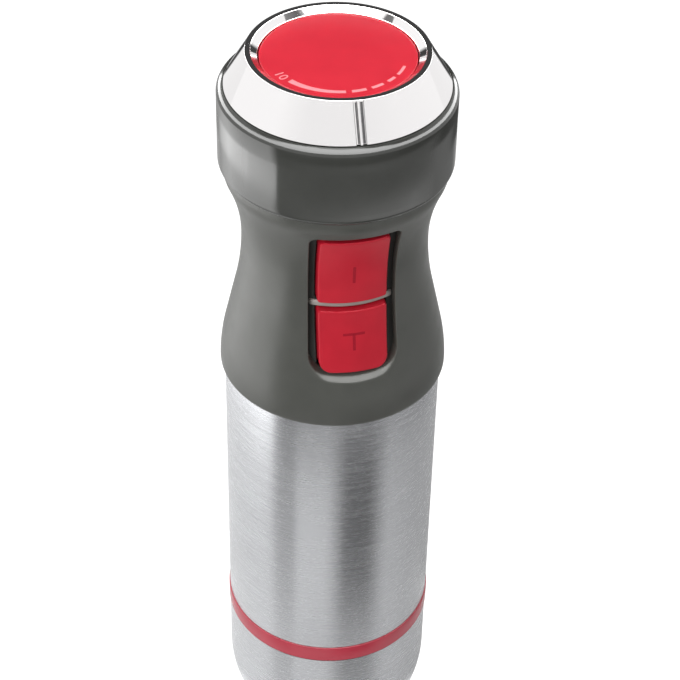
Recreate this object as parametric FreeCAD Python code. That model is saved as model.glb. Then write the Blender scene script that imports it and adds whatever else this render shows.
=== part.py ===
import FreeCAD, Part

import math
import os

# Hand immersion blender, in millimetres. The blender stands on the rim of its
# blade guard. Z = 0 is that rim, +Z runs up the axis to the speed dial, and the
# two buttons face -Y.

# --- driving dimensions: heights along the axis -----------------------------
LEG_SHOULDER = 181.0
LEG_TOP = 202.3
RING_LOW = 202.6
RING_HIGH = 208.4
SLEEVE_LOW = 208.5
GRIP_LOW = 304.5
SLEEVE_HIGH = 309.0
BULGE_Z = 305.0
WAIST = 351.5
COLLAR_LOW = 376.7
DECK_LOW = 379.0
DECK_HIGH = 381.4
COLLAR_HIGH = 401.2
DIAL_LOW = 401.5
DISC_LOW = 406.5
DISC_HIGH = 410.1
BEVEL_HIGH = 411.2

# --- driving dimensions: radii of the visible skin --------------------------
SLEEVE_R = 32.5
SLEEVE_WALL = 0.8
RING_R = 32.8
COLLAR_R = 33.5
COLLAR_IN_R = 31.0
GRIP_WALL = 2.6
DIAL_R = 31.5
BEVEL_TOP_R = 25.8
DISC_R = 21.7
TUBE_R = 16.5
GUARD_R = 32.6
GUARD_WALL = 1.0

# --- side of the grip: bends, and how far each turns in degrees -------------
BULGE_R = 33.9
WAIST_R = 27.1
BULGE_BEND = 60.2
FLANK_BEND = 85.0
NECK_BEND = 50.0
SHOULDER_BEND = 10.3
FLANK_TURN = 13.0
NECK_TURN = 24.0

# --- running clearances -----------------------------------------------------
SHAFT_R = 4.0
SHAFT_FIT = 0.05
LOOSE = 0.3
SLIP = 0.05

# --- buttons ----------------------------------------------------------------
BUTTON_HALF = 10.0
POWER_Z = (345.0, 367.9)
TURBO_Z = (322.9, 342.5)
POWER_INSET = 0.5
TURBO_INSET = 0.3
BAR_INSET = 1.9
SWITCH_FRONT_Y = -15.5
BOARD_BACK_Y = -8.4
BOARD_FRONT_Y = -10.0
POCKET_DEEP_Y = -20.0
POCKET_WIDE_Y = -36.0

# --- screws of the deck -----------------------------------------------------
BOSS_ANGLES = (30, 150, 200, 340)

# --- dial gear train --------------------------------------------------------
MODULE = 1.0
DIAL_TEETH = 45
PINION_TEETH = 20
GEAR_LOW = 393.0
GEAR_HIGH = 397.0
PRESSURE = math.radians(20.0)
ADDENDUM = 0.8
DEDENDUM = 1.1
BACKLASH = 0.12
PINION_Y = MODULE * (DIAL_TEETH - PINION_TEETH) / 2.0

# --- motor ------------------------------------------------------------------
STACK_LOW = 256.0
STACK_HIGH = 286.0
ROTOR_R = 15.8
BRACKET_LOW = 300.0

# --- cord inlet -------------------------------------------------------------
INLET_Z = 386.8
INLET_R = 4.75
INLET_BORE_R = 3.4

# --- blade ------------------------------------------------------------------
BLADE_Z = 16.5
BLADE_R = 24.0
BLADE_THICK = 1.6

X_AXIS = FreeCAD.Vector(1, 0, 0)
Y_AXIS = FreeCAD.Vector(0, 1, 0)
Z_AXIS = FreeCAD.Vector(0, 0, 1)
ORIGIN = FreeCAD.Vector(0, 0, 0)


# --- helpers ----------------------------------------------------------------
def cylinder(radius, low, high, x=0.0, y=0.0):
    return Part.makeCylinder(radius, high - low, FreeCAD.Vector(x, y, low))


def tube(outer, inner, low, high, x=0.0, y=0.0):
    return cylinder(outer, low, high, x, y).cut(cylinder(inner, low - 1, high + 1, x, y))


def rod_y(radius, low, high, x=0.0, z=0.0):
    return Part.makeCylinder(radius, high - low, FreeCAD.Vector(x, low, z), Y_AXIS)


def box(x, y, z):
    size = (x[1] - x[0], y[1] - y[0], z[1] - z[0])
    return Part.makeBox(*size, FreeCAD.Vector(x[0], y[0], z[0]))


def fused(shapes):
    return shapes[0].fuse(shapes[1:]).removeSplitter()


def turned_copies(shape, count, first=0.0):
    copies = []
    for index in range(count):
        copy = shape.copy()
        copy.rotate(ORIGIN, Z_AXIS, first + index * 360.0 / count)
        copies.append(copy)
    return copies


def edges_along(steps):
    """Edges through (radius, height) points. A pair of points in the list is
    an arc: its middle, then its end."""
    at = [FreeCAD.Vector(steps[0][0], 0, steps[0][1])]
    edges = []
    for step in steps[1:]:
        if isinstance(step[0], tuple):
            middle = FreeCAD.Vector(step[0][0], 0, step[0][1])
            end = FreeCAD.Vector(step[1][0], 0, step[1][1])
            edges.append(Part.Arc(at[-1], middle, end).toShape())
        else:
            end = FreeCAD.Vector(step[0], 0, step[1])
            edges.append(Part.LineSegment(at[-1], end).toShape())
        at.append(end)
    return edges


def turned(edges):
    face = Part.Face(Part.Wire(edges))
    return face.revolve(ORIGIN, Z_AXIS, 360)


def lathe(*steps):
    return turned(edges_along(list(steps) + [steps[0]]))


def skin_solid(skin):
    """Solid inside an open outline, closed by its two ends and the axis."""
    top = (0.0, skin[0][1])
    foot = (0.0, skin[-1][1])
    return turned(edges_along(skin + [foot, top, skin[0]]))


def rounded_plate(half_width, low, high, low_corner, high_corner, y):
    """Wire in the plane of one Y: a rectangle whose lower and upper corners
    have their own radii."""
    corners = (
        (half_width, low, low_corner, -45),
        (half_width, high, high_corner, 45),
        (-half_width, high, high_corner, 135),
        (-half_width, low, low_corner, 225),
    )
    arcs = []
    for x, z, radius, facing in corners:
        centre_x = x - math.copysign(radius, x)
        centre_z = z + radius if z == low else z - radius
        points = []
        for angle in (facing - 45, facing, facing + 45):
            turn = math.radians(angle)
            points.append(
                FreeCAD.Vector(centre_x + radius * math.cos(turn), y, centre_z + radius * math.sin(turn))
            )
        arcs.append(points)
    edges = []
    for index, points in enumerate(arcs):
        following = arcs[(index + 1) % len(arcs)]
        edges.append(Part.Arc(*points).toShape())
        edges.append(Part.LineSegment(points[2], following[0]).toShape())
    return Part.Wire(edges)


def plate_prism(half_width, span, low_corner, high_corner, y):
    """A rounded_plate pushed from y[0] to y[1]."""
    wire = rounded_plate(half_width, span[0], span[1], low_corner, high_corner, y[0])
    return Part.Face(wire).extrude(FreeCAD.Vector(0, y[1] - y[0], 0))


# --- grip -------------------------------------------------------------------
def on_arc(centre, radius, degrees):
    turn = math.radians(degrees)
    return (centre[0] + radius * math.cos(turn), centre[1] + radius * math.sin(turn))


def grip_side(inset):
    """Outline of the grip's side, from the bulge over the sleeve up past the
    waist to the shoulder under the collar, moved inwards along its normals."""
    low = (BULGE_R - BULGE_BEND, BULGE_Z)
    flank = (WAIST_R + FLANK_BEND, WAIST)
    neck = (WAIST_R + NECK_BEND, WAIST)
    bend = BULGE_BEND - inset
    hollow = FLANK_BEND + inset
    throat = NECK_BEND + inset
    top_hollow = on_arc(neck, NECK_BEND, 180 - NECK_TURN)
    shoulder = (
        top_hollow[0] - SHOULDER_BEND * math.cos(math.radians(NECK_TURN)),
        top_hollow[1] + SHOULDER_BEND * math.sin(math.radians(NECK_TURN)),
    )
    crest = SHOULDER_BEND - inset
    return [
        on_arc(low, bend, 0.0),
        (on_arc(low, bend, FLANK_TURN / 2), on_arc(low, bend, FLANK_TURN)),
        on_arc(flank, hollow, 180 + FLANK_TURN),
        (on_arc(flank, hollow, 180 + FLANK_TURN / 2), on_arc(flank, hollow, 180.0)),
        (on_arc(neck, throat, 180 - NECK_TURN / 2), on_arc(neck, throat, 180 - NECK_TURN)),
        (on_arc(shoulder, crest, -NECK_TURN / 2), on_arc(shoulder, crest, 0.0)),
        (shoulder[0] + crest, COLLAR_LOW),
    ]


def grip_core(inset):
    """Solid of revolution that fills the grip up to its side, moved inwards."""
    return skin_solid(grip_side(inset))


def pocket_space():
    """The button pocket, wider outwards and with a long bevel at its lower lip."""
    deep = rounded_plate(12.0, 326.7, 368.9, 4.0, 2.0, POCKET_DEEP_Y)
    wide = rounded_plate(14.2, 318.2, 370.6, 7.0, 3.0, POCKET_WIDE_Y)
    return Part.makeLoft([deep, wide], True, True)


def board_rails(cavity):
    """Moulded rails inside the grip that hold the circuit board by its edges."""
    rails = []
    for low, high in ((15.0, 30.0), (-30.0, -15.0)):
        rail = box((low, high), (-12.0, -6.5), (319.0, 373.0))
        rails.append(rail)
    slot = box((-16.2, 16.2), (BOARD_FRONT_Y - SLIP, BOARD_BACK_Y + SLIP), (321.0, 380.0))
    return fused(rails).common(cavity).cut(slot)


def deck_bosses(cavity):
    """Screw bosses under the deck, grown out of the grip's wall."""
    bosses = []
    for angle in BOSS_ANGLES:
        x = 26.5 * math.cos(math.radians(angle))
        y = 26.5 * math.sin(math.radians(angle))
        boss = cylinder(3.2, 362.0, COLLAR_LOW, x, y).common(cavity)
        bosses.append(boss.fuse(cylinder(3.2, COLLAR_LOW - 0.5, DECK_LOW, x, y)))
    return bosses


def screw_holes(radius, low, high):
    holes = []
    for angle in BOSS_ANGLES:
        x = 26.5 * math.cos(math.radians(angle))
        y = 26.5 * math.sin(math.radians(angle))
        holes.append(cylinder(radius, low, high, x, y))
    return holes


def grip_shell():
    """Soft moulded grip: waisted, with a bulge over the steel sleeve."""
    foot = lathe(
        (0.0, GRIP_LOW),
        (BULGE_R - 0.5, GRIP_LOW),
        ((BULGE_R - 0.146, GRIP_LOW + 0.146), (BULGE_R, BULGE_Z)),
        (0.0, BULGE_Z),
    )
    spigot = cylinder(30.9, COLLAR_LOW, DECK_LOW)
    cavity = grip_core(GRIP_WALL)
    shell = foot.fuse([grip_core(0.0), spigot]).removeSplitter()
    shell = shell.cut(cylinder(SLEEVE_R + 0.02, GRIP_LOW - 1, SLEEVE_HIGH))
    shell = shell.cut(cavity)
    shell = shell.cut(cylinder(28.6, COLLAR_LOW - 1, DECK_LOW + 1))
    shell = fused([shell, board_rails(cavity)] + deck_bosses(cavity))
    for hole in screw_holes(1.2, 366.0, DECK_LOW + 1):
        shell = shell.cut(hole)
    return shell.cut(pocket_space())


def button_frame():
    """Plate behind the pocket, with a window for each button and the bar
    that stands between them."""
    depth = (POCKET_WIDE_Y, -15.0)
    plate = plate_prism(14.8, (318.0, 374.2), 4.0, 3.0, depth)
    plate = plate.common(grip_core(GRIP_WALL + 0.02)).cut(grip_core(4.4))
    for span in (POWER_Z, TURBO_Z):
        window = plate_prism(
            BUTTON_HALF + LOOSE, (span[0] - LOOSE, span[1] + LOOSE), 1.2, 1.2, depth
        )
        plate = plate.cut(window)
    bar_low = TURBO_Z[1] + LOOSE
    bar_high = POWER_Z[0] - LOOSE
    bar = box((-13.0, 13.0), depth, (bar_low, bar_high))
    bar = bar.common(grip_core(BAR_INSET)).cut(grip_core(4.4)).common(pocket_space())
    return plate.fuse(bar).removeSplitter()


def button(span, low_corner, high_corner, inset):
    """A saddle-shaped cap, the side flanges that keep it in, and its stem."""
    middle = (span[0] + span[1]) / 2.0
    depth = (POCKET_WIDE_Y, -12.0)
    cap = plate_prism(BUTTON_HALF, span, low_corner, high_corner, depth)
    cap = cap.common(grip_core(inset)).cut(grip_core(6.0))
    flange = plate_prism(11.4, (span[0] + 1.0, span[1] - 1.0), 1.0, 1.0, depth)
    flange = flange.common(grip_core(4.8)).cut(grip_core(6.0))
    stem = rod_y(2.0, -23.5, SWITCH_FRONT_Y - 2.1, 0.0, middle)
    tip = rod_y(0.8, SWITCH_FRONT_Y - 2.6, SWITCH_FRONT_Y + 0.5, 0.0, middle)
    return fused([cap, flange, stem, tip])


def button_spring(span, back_y):
    """Coil spring round the stem, from the switch to the back of the cap."""
    middle = (span[0] + span[1]) / 2.0
    wire_r = 0.4
    radius = 3.0
    length = SWITCH_FRONT_Y - back_y - 2 * wire_r
    helix = Part.makeHelix(length / 2.5, length, radius)
    corners = [(radius + wire_r, 0), (radius, wire_r), (radius - wire_r, 0), (radius, -wire_r)]
    section = Part.makePolygon([FreeCAD.Vector(x, 0, z) for x, z in corners + corners[:1]])
    coil = Part.Wire(helix).makePipeShell([section], True, True)
    coil.rotate(ORIGIN, X_AXIS, -90)
    coil.translate(FreeCAD.Vector(0, back_y + wire_r, middle))
    return coil


def micro_switch(span):
    middle = (span[0] + span[1]) / 2.0
    body = box((-6.4, 6.4), (SWITCH_FRONT_Y, BOARD_FRONT_Y), (middle - 3.3, middle + 3.3))
    return body.cut(rod_y(1.1, SWITCH_FRONT_Y - 1, SWITCH_FRONT_Y + 3.2, 0.0, middle))


def circuit_board():
    return box((-16.0, 16.0), (BOARD_FRONT_Y, BOARD_BACK_Y), (321.0, 371.0))


# --- head: collar, dial, scale disc and the gear train ----------------------
def head_collar():
    """Glossy collar with an inner lip that holds the dial down."""
    ring = lathe(
        (COLLAR_IN_R, COLLAR_LOW),
        (32.1, COLLAR_LOW),
        ((33.1, 377.1), (COLLAR_R, 378.3)),
        (COLLAR_R, COLLAR_HIGH - 2.0),
        ((32.914, COLLAR_HIGH - 0.586), (DIAL_R, COLLAR_HIGH)),
        (28.8, COLLAR_HIGH),
        (28.8, COLLAR_HIGH - 2.5),
        (COLLAR_IN_R, COLLAR_HIGH - 2.5),
    )
    return ring.cut(rod_y(INLET_R + SLIP, 20.0, 40.0, 0.0, INLET_Z))


def gear_outline(teeth, root, tip, thickness):
    """Involute teeth as a closed polygon. One tooth points along +Y, and
    thickness is a tooth's width on the pitch circle."""
    pitch = MODULE * teeth / 2.0
    base = pitch * math.cos(PRESSURE)
    start = math.tan(PRESSURE) - PRESSURE

    def half_angle(radius):
        slope = math.acos(min(1.0, base / radius))
        return thickness / (2 * pitch) + start - (math.tan(slope) - slope)

    flank = [max(root, base) + (tip - max(root, base)) * step / 3.0 for step in range(4)]
    corners = [(radius, half_angle(radius)) for radius in flank]
    if root < base:
        corners.insert(0, (root, half_angle(base)))
    points = []
    for tooth in range(teeth):
        centre = math.pi / 2 + tooth * 2 * math.pi / teeth
        sides = [(radius, centre - half) for radius, half in corners]
        sides += [(radius, centre + half) for radius, half in reversed(corners)]
        for radius, angle in sides:
            points.append(FreeCAD.Vector(radius * math.cos(angle), radius * math.sin(angle), 0))
    points.append(points[0])
    return Part.Face(Part.makePolygon(points))


def pointer_groove():
    """Marker on the bevel: a shallow slot with a rib along its middle."""
    slope = math.atan2(BEVEL_HIGH - DIAL_LOW, DIAL_R - BEVEL_TOP_R)
    length = 16.0
    depth = 0.45
    slot = box((-1.5, 1.5), (0.0, length), (-depth, 2.0))
    rib = box((-0.4, 0.4), (0.0, length), (-depth, 0.0))
    groove = slot.cut(rib)
    groove.translate(FreeCAD.Vector(0, -1.0, 0))
    groove.rotate(ORIGIN, X_AXIS, math.degrees(slope))
    groove.translate(FreeCAD.Vector(0, -DIAL_R, DIAL_LOW))
    return groove


def speed_dial():
    """Chromed ring: bevel, rounded rim, retaining lip and internal gear."""
    pitch = MODULE * DIAL_TEETH / 2.0
    root = pitch + DEDENDUM
    ring = lathe(
        (28.5, DIAL_LOW),
        (DIAL_R, DIAL_LOW),
        (BEVEL_TOP_R, BEVEL_HIGH),
        ((25.2, 411.8), (24.4, 411.6)),
        (DISC_R + LOOSE, DISC_HIGH - 0.1),
        (DISC_R + LOOSE, 407.2),
        (root + 0.4, 407.2),
        (root + 0.4, GEAR_LOW),
        (28.5, GEAR_LOW),
        (28.5, 394.6),
        (30.4, 394.6),
        (30.4, 398.2),
        (28.5, 398.2),
    )
    space = gear_outline(
        DIAL_TEETH, pitch - ADDENDUM, root, MODULE * math.pi / 2 + BACKLASH
    )
    band = Part.Face(Part.Wire(Part.makeCircle(root + 0.6))).extrude(FreeCAD.Vector(0, 0, 4.0))
    band = band.cut(space.extrude(FreeCAD.Vector(0, 0, GEAR_HIGH - GEAR_LOW)))
    band.translate(FreeCAD.Vector(0, 0, GEAR_LOW))
    return fused([ring, band]).cut(pointer_groove())


def potentiometer_pinion():
    """The potentiometer's shaft with its gear, in mesh with the dial."""
    pitch = MODULE * PINION_TEETH / 2.0
    teeth = gear_outline(
        PINION_TEETH, pitch - DEDENDUM, pitch + ADDENDUM, MODULE * math.pi / 2 - BACKLASH
    )
    gear = teeth.extrude(FreeCAD.Vector(0, 0, GEAR_HIGH - GEAR_LOW - 0.6))
    gear.translate(FreeCAD.Vector(0, PINION_Y, GEAR_LOW + 0.3))
    shaft = cylinder(3.0, 384.0, GEAR_HIGH + 1.5, 0.0, PINION_Y)
    return fused([gear, shaft])


def potentiometer_body():
    can = cylinder(8.5, DECK_HIGH, 389.0, 0.0, PINION_Y)
    neck = cylinder(4.5, 388.0, 391.5, 0.0, PINION_Y)
    return fused([can, neck]).cut(cylinder(3.0 + SHAFT_FIT, 383.7, 395.0, 0.0, PINION_Y))


def dial_deck():
    """Plate across the head that carries the dial train and the disc."""
    deck = cylinder(30.9, DECK_LOW, DECK_HIGH)
    rim = tube(30.9, 29.2, DECK_LOW, 392.0)
    gap = box((-7.0, 7.0), (20.0, 40.0), (DECK_HIGH, 400.0))
    deck = fused([deck, rim.cut(gap)])
    wire_window = box((-9.0, 9.0), (-27.0, -19.0), (DECK_LOW - 1, DECK_HIGH + 1))
    deck = deck.cut(wire_window)
    for hole in screw_holes(1.6, DECK_LOW - 1, DECK_HIGH + 1):
        deck = deck.cut(hole)
    return deck


def disc_carrier():
    """Bridge on three pillars that holds the disc still inside the dial."""
    plate = cylinder(21.4, 404.0, DISC_LOW)
    pillars = []
    for x, y in ((-14.0, -8.0), (14.0, -8.0), (0.0, -15.0)):
        pillars.append(cylinder(2.6, DECK_HIGH, 404.5, x, y))
    return fused([plate] + pillars)


def scale_disc():
    return lathe(
        (0.0, DISC_LOW),
        (DISC_R, DISC_LOW),
        (DISC_R, DISC_HIGH - 0.3),
        (DISC_R - 0.3, DISC_HIGH),
        (0.0, DISC_HIGH),
    )


def cord_inlet():
    """Gland in the back of the collar that the mains cord comes out of."""
    gland = rod_y(INLET_R, 22.0, 33.1, 0.0, INLET_Z)
    return gland.cut(rod_y(INLET_BORE_R, 20.0, 40.0, 0.0, INLET_Z))


def deck_screws():
    screws = []
    for head, shank in zip(
        screw_holes(2.6, DECK_HIGH, DECK_HIGH + 2.0), screw_holes(1.15, 368.0, DECK_HIGH + 1.0)
    ):
        screws.append(head.fuse(shank).removeSplitter())
    return Part.makeCompound(screws)


# --- motor unit -------------------------------------------------------------
def motor_sleeve():
    return tube(SLEEVE_R, SLEEVE_R - SLEEVE_WALL, SLEEVE_LOW, SLEEVE_HIGH)


def leg_socket():
    """Collar at the foot of the motor unit that the leg's neck screws into."""
    body = cylinder(SLEEVE_R - SLEEVE_WALL - SLIP, SLEEVE_LOW, 230.0)
    body = body.cut(cylinder(27.4, SLEEVE_LOW - 1, 227.5))
    return body.cut(cylinder(5.0, 220.0, 240.0))


def lower_bracket():
    """Plate with the lower bearing's boss, and air holes for the fan."""
    plate = cylinder(SLEEVE_R - SLEEVE_WALL - SLIP, 230.0, 233.0)
    boss = cylinder(14.0, 232.0, 238.0)
    bracket = fused([plate, boss])
    bracket = bracket.cut(cylinder(11.0, 231.5, 240.0))
    bracket = bracket.cut(cylinder(5.0, 229.0, 232.0))
    for hole in turned_copies(cylinder(3.5, 229.0, 234.0, 22.0, 0.0), 8):
        bracket = bracket.cut(hole)
    return bracket


def motor_cradle():
    """Plastic tube that centres the motor in the sleeve on four ribs."""
    outer = SLEEVE_R - SLEEVE_WALL - SLIP
    wall = tube(outer, outer - 2.0, 233.0, BRACKET_LOW)
    rib = box((27.05, outer - 1.0), (-4.0, 4.0), (250.0, 294.0))
    ledge = box((24.5, outer - 1.0), (-4.0, 4.0), (250.0, STACK_LOW))
    return fused([wall] + turned_copies(rib.fuse(ledge), 4, 45.0))


def stator_core():
    """Laminated yoke with two pole shoes, in front of and behind the rotor."""
    height = (STACK_LOW, STACK_HIGH)
    yoke = tube(27.0, 23.0, *height)
    shoe = tube(19.0, ROTOR_R + 0.5, *height)
    shoe = shoe.common(Part.makeCylinder(25.0, 400.0, ORIGIN, Z_AXIS, 124.0))
    shoe.rotate(ORIGIN, Z_AXIS, 28.0)
    neck = box((-9.0, 9.0), (18.2, 23.6), height)
    pole = shoe.fuse(neck.cut(cylinder(18.5, *height)))
    return fused([yoke] + turned_copies(pole, 2))


def field_coils():
    """Two windings, each wrapped round the neck of a pole."""
    coil = tube(22.8, 19.2, 250.5, 290.0)
    coil = coil.common(Part.makeCylinder(25.0, 400.0, ORIGIN, Z_AXIS, 116.0))
    coil.rotate(ORIGIN, Z_AXIS, 32.0)
    coil = coil.cut(box((-9.2, 9.2), (10.0, 30.0), (STACK_LOW - 0.2, STACK_HIGH + 0.2)))
    return Part.makeCompound(turned_copies(coil, 2))


def rotor_core():
    """Slotted stack of the armature."""
    core = tube(ROTOR_R, SHAFT_R, STACK_LOW, STACK_HIGH)
    slot = cylinder(1.7, STACK_LOW - 1, STACK_HIGH + 1, 12.6, 0.0)
    mouth = box((12.6, 20.0), (-0.6, 0.6), (STACK_LOW - 1, STACK_HIGH + 1))
    for cut in turned_copies(slot.fuse(mouth), 12):
        core = core.cut(cut)
    return core


def rotor_windings():
    """The winding heads that stand out of both ends of the armature."""
    lower = lathe(
        (5.5, STACK_LOW),
        (14.4, STACK_LOW),
        (13.4, 251.6),
        (10.0, 250.6),
        (5.5, 250.6),
    )
    upper = lathe(
        (5.5, STACK_HIGH),
        (14.4, STACK_HIGH),
        (13.4, 289.6),
        (10.0, 290.6),
        (5.5, 290.6),
    )
    return Part.makeCompound([lower, upper])


def commutator():
    drum = tube(11.0, SHAFT_R, 291.5, 299.4)
    groove = box((9.6, 12.0), (-0.3, 0.3), (291.0, 300.0))
    for cut in turned_copies(groove, 12, 15.0):
        drum = drum.cut(cut)
    return drum


def motor_shaft():
    return cylinder(SHAFT_R, 219.0, 307.5)


def cooling_fan():
    """Radial fan under the armature."""
    hub = tube(7.5, SHAFT_R, 240.0, 248.5)
    plate = tube(25.5, 7.0, 247.0, 248.5)
    blade = box((7.0, 25.0), (-0.7, 0.7), (240.5, 247.5))
    blade.rotate(FreeCAD.Vector(7.0, 0, 0), Z_AXIS, 22.0)
    blade = blade.common(cylinder(25.0, 240.0, 248.0))
    return fused([hub, plate] + turned_copies(blade, 10))


def bearing(outer, low, high):
    return tube(outer, SHAFT_R + SHAFT_FIT, low, high)


def upper_bracket():
    """Plate over the motor with the upper bearing's boss and wire holes."""
    plate = cylinder(SLEEVE_R - SLEEVE_WALL - SLIP, BRACKET_LOW, BRACKET_LOW + 3.0)
    boss = cylinder(12.5, BRACKET_LOW + 2.0, BRACKET_LOW + 8.0)
    bracket = fused([plate, boss])
    bracket = bracket.cut(cylinder(9.5, BRACKET_LOW + 1.2, BRACKET_LOW + 9.0))
    bracket = bracket.cut(cylinder(5.0, BRACKET_LOW - 1, BRACKET_LOW + 2.0))
    for hole in turned_copies(cylinder(4.0, BRACKET_LOW - 1, BRACKET_LOW + 4.0, 22.0, 0.0), 6, 30.0):
        bracket = bracket.cut(hole)
    return bracket


def brush_holders():
    """Two brass guides that hang from the upper bracket beside the drum."""
    guide = box((12.6, 26.0), (-4.2, 4.2), (292.2, BRACKET_LOW))
    guide = guide.cut(box((12.0, 25.0), (-3.1, 3.1), (293.2, 298.8)))
    return Part.makeCompound(turned_copies(guide, 2))


def carbon_brushes():
    brush = box((11.2, 21.0), (-3.0, 3.0), (293.3, 298.7))
    return Part.makeCompound(turned_copies(brush, 2))


def hexagon(radius, low, high):
    points = []
    for corner in range(7):
        angle = math.radians(60 * corner)
        points.append(FreeCAD.Vector(radius * math.cos(angle), radius * math.sin(angle), low))
    return Part.Face(Part.makePolygon(points)).extrude(FreeCAD.Vector(0, 0, high - low))


def upper_coupling():
    """Driving cup on the motor shaft, with a six-sided mouth."""
    cup = cylinder(9.5, 206.5, 226.0)
    cup = cup.cut(hexagon(6.4, 205.0, 218.0))
    return cup.cut(cylinder(SHAFT_R, 217.0, 227.0))


# --- leg --------------------------------------------------------------------
def joint_ring():
    """Coloured ring that lies loose round the neck between leg and motor unit."""
    return lathe(
        (27.4, RING_LOW),
        (RING_R - 0.3, RING_LOW),
        (RING_R, RING_LOW + 0.3),
        (RING_R, RING_HIGH - 0.3),
        (RING_R - 0.3, RING_HIGH),
        (27.4, RING_HIGH),
    )


def leg_neck():
    """Plastic neck and flange in the top of the leg, with the upper bush seat."""
    flange = cylinder(SLEEVE_R - SLEEVE_WALL - SLIP, 194.0, LEG_TOP)
    neck = cylinder(27.0, 200.0, 225.0)
    body = fused([flange, neck])
    body = body.cut(cylinder(24.2, 199.0, 226.0))
    boss = cylinder(10.0, 186.0, 203.0)
    body = fused([body, boss])
    return body.cut(cylinder(6.5, 185.0, 204.0))


def s_curve(top, top_r, bend_r, foot_r, turn):
    """Outline of a shoulder that turns in by a convex arc and back by a hollow
    one. Returns the points from its top to where it runs straight again."""
    half = math.radians(turn / 2.0)
    full = math.radians(turn)
    centre = top_r - bend_r
    first = (centre + bend_r * math.cos(half), top - bend_r * math.sin(half))
    meet = (centre + bend_r * math.cos(full), top - bend_r * math.sin(full))
    hollow_r = (meet[0] - foot_r) / (1 - math.cos(full))
    low = meet[1] - hollow_r * math.sin(full)
    hollow = foot_r + hollow_r
    second = (hollow - hollow_r * math.cos(half), low + hollow_r * math.sin(half))
    return first, meet, second, (foot_r, low)


def leg_skin(inset):
    """Outline of the leg from its top to the end of its tube, moved inwards."""
    first, meet, second, low = s_curve(LEG_SHOULDER, SLEEVE_R - inset, 38.0 - inset, TUBE_R - inset, 48.0)
    return [
        (SLEEVE_R - inset, LEG_TOP),
        (SLEEVE_R - inset, LEG_SHOULDER),
        (first, meet),
        (second, low),
        (TUBE_R - inset, 52.0),
    ]


def leg_shell():
    """Drawn steel leg: straight top, round shoulder and narrow tube."""
    return skin_solid(leg_skin(0.0)).cut(skin_solid(leg_skin(SLEEVE_WALL)))


def guard_skin(inset):
    """Outline of the bell from the tube down to its rim, moved inwards."""
    turn = math.radians(50.0)
    hollow_r = 10.0 + inset
    hollow = TUBE_R + 10.0
    meet = (hollow - hollow_r * math.cos(turn), 52.0 - hollow_r * math.sin(turn))
    middle = (hollow - hollow_r * math.cos(turn / 2), 52.0 - hollow_r * math.sin(turn / 2))
    side_r = GUARD_R - inset
    bend_r = (side_r - meet[0]) / (1 - math.cos(turn))
    centre = (side_r - bend_r, meet[1] - bend_r * math.sin(turn))
    outer = (centre[0] + bend_r * math.cos(turn / 2), centre[1] + bend_r * math.sin(turn / 2))
    return [
        (TUBE_R - inset, 52.0),
        (middle, meet),
        (outer, (side_r, centre[1])),
        (side_r, 0.0),
    ]


def blade_guard():
    """Steel bell round the blade, with arched cut-outs in its rim and slots
    higher up that let the food flow through."""
    bell = skin_solid(guard_skin(0.0)).cut(skin_solid(guard_skin(GUARD_WALL)))
    arch = Part.makeCylinder(11.5, 30.0, FreeCAD.Vector(15.0, 0, -3.0), X_AXIS)
    slot = Part.makeCylinder(2.2, 40.0, FreeCAD.Vector(12.0, -5.0, 27.0), X_AXIS)
    slot = slot.fuse(Part.makeCylinder(2.2, 40.0, FreeCAD.Vector(12.0, 5.0, 27.0), X_AXIS))
    slot = slot.fuse(box((12.0, 52.0), (-5.0, 5.0), (24.8, 29.2)))
    for cut in turned_copies(arch, 4) + turned_copies(slot, 4, 45.0):
        bell = bell.cut(cut)
    return bell


def bush_housing():
    """Plug in the end of the tube that carries the lower bush and seal."""
    plug = lathe(
        (7.6, 26.5),
        (9.4, 26.5),
        (10.0, 27.1),
        (10.0, 40.0),
        (15.4, 46.5),
        (15.4, 60.0),
        (6.5, 60.0),
        (6.5, 32.0),
        (7.6, 32.0),
    )
    return plug


def lower_bush():
    return tube(6.5, SHAFT_R + SHAFT_FIT, 32.0, 59.0)


def upper_bush():
    return tube(6.5, SHAFT_R + SHAFT_FIT, 187.0, 202.0)


def lip_seal():
    """Rubber seal whose lip runs on the spindle."""
    return lathe(
        (SHAFT_R + SHAFT_FIT, 27.4),
        (SHAFT_R + 0.9, 26.9),
        (7.6, 26.9),
        (7.6, 32.0),
        (5.6, 32.0),
        (5.6, 29.0),
        (SHAFT_R + SHAFT_FIT, 28.4),
    )


def drive_spindle():
    return cylinder(SHAFT_R, 18.0, 212.0).fuse(cylinder(2.5, 14.0, 18.5)).removeSplitter()


def lower_coupling():
    """Driven six-sided plug on the top of the spindle."""
    plug = hexagon(6.1, 205.0, 216.8)
    collar = cylinder(7.5, 203.6, 205.6)
    return fused([plug, collar]).cut(cylinder(SHAFT_R, 200.0, 212.0))


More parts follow.
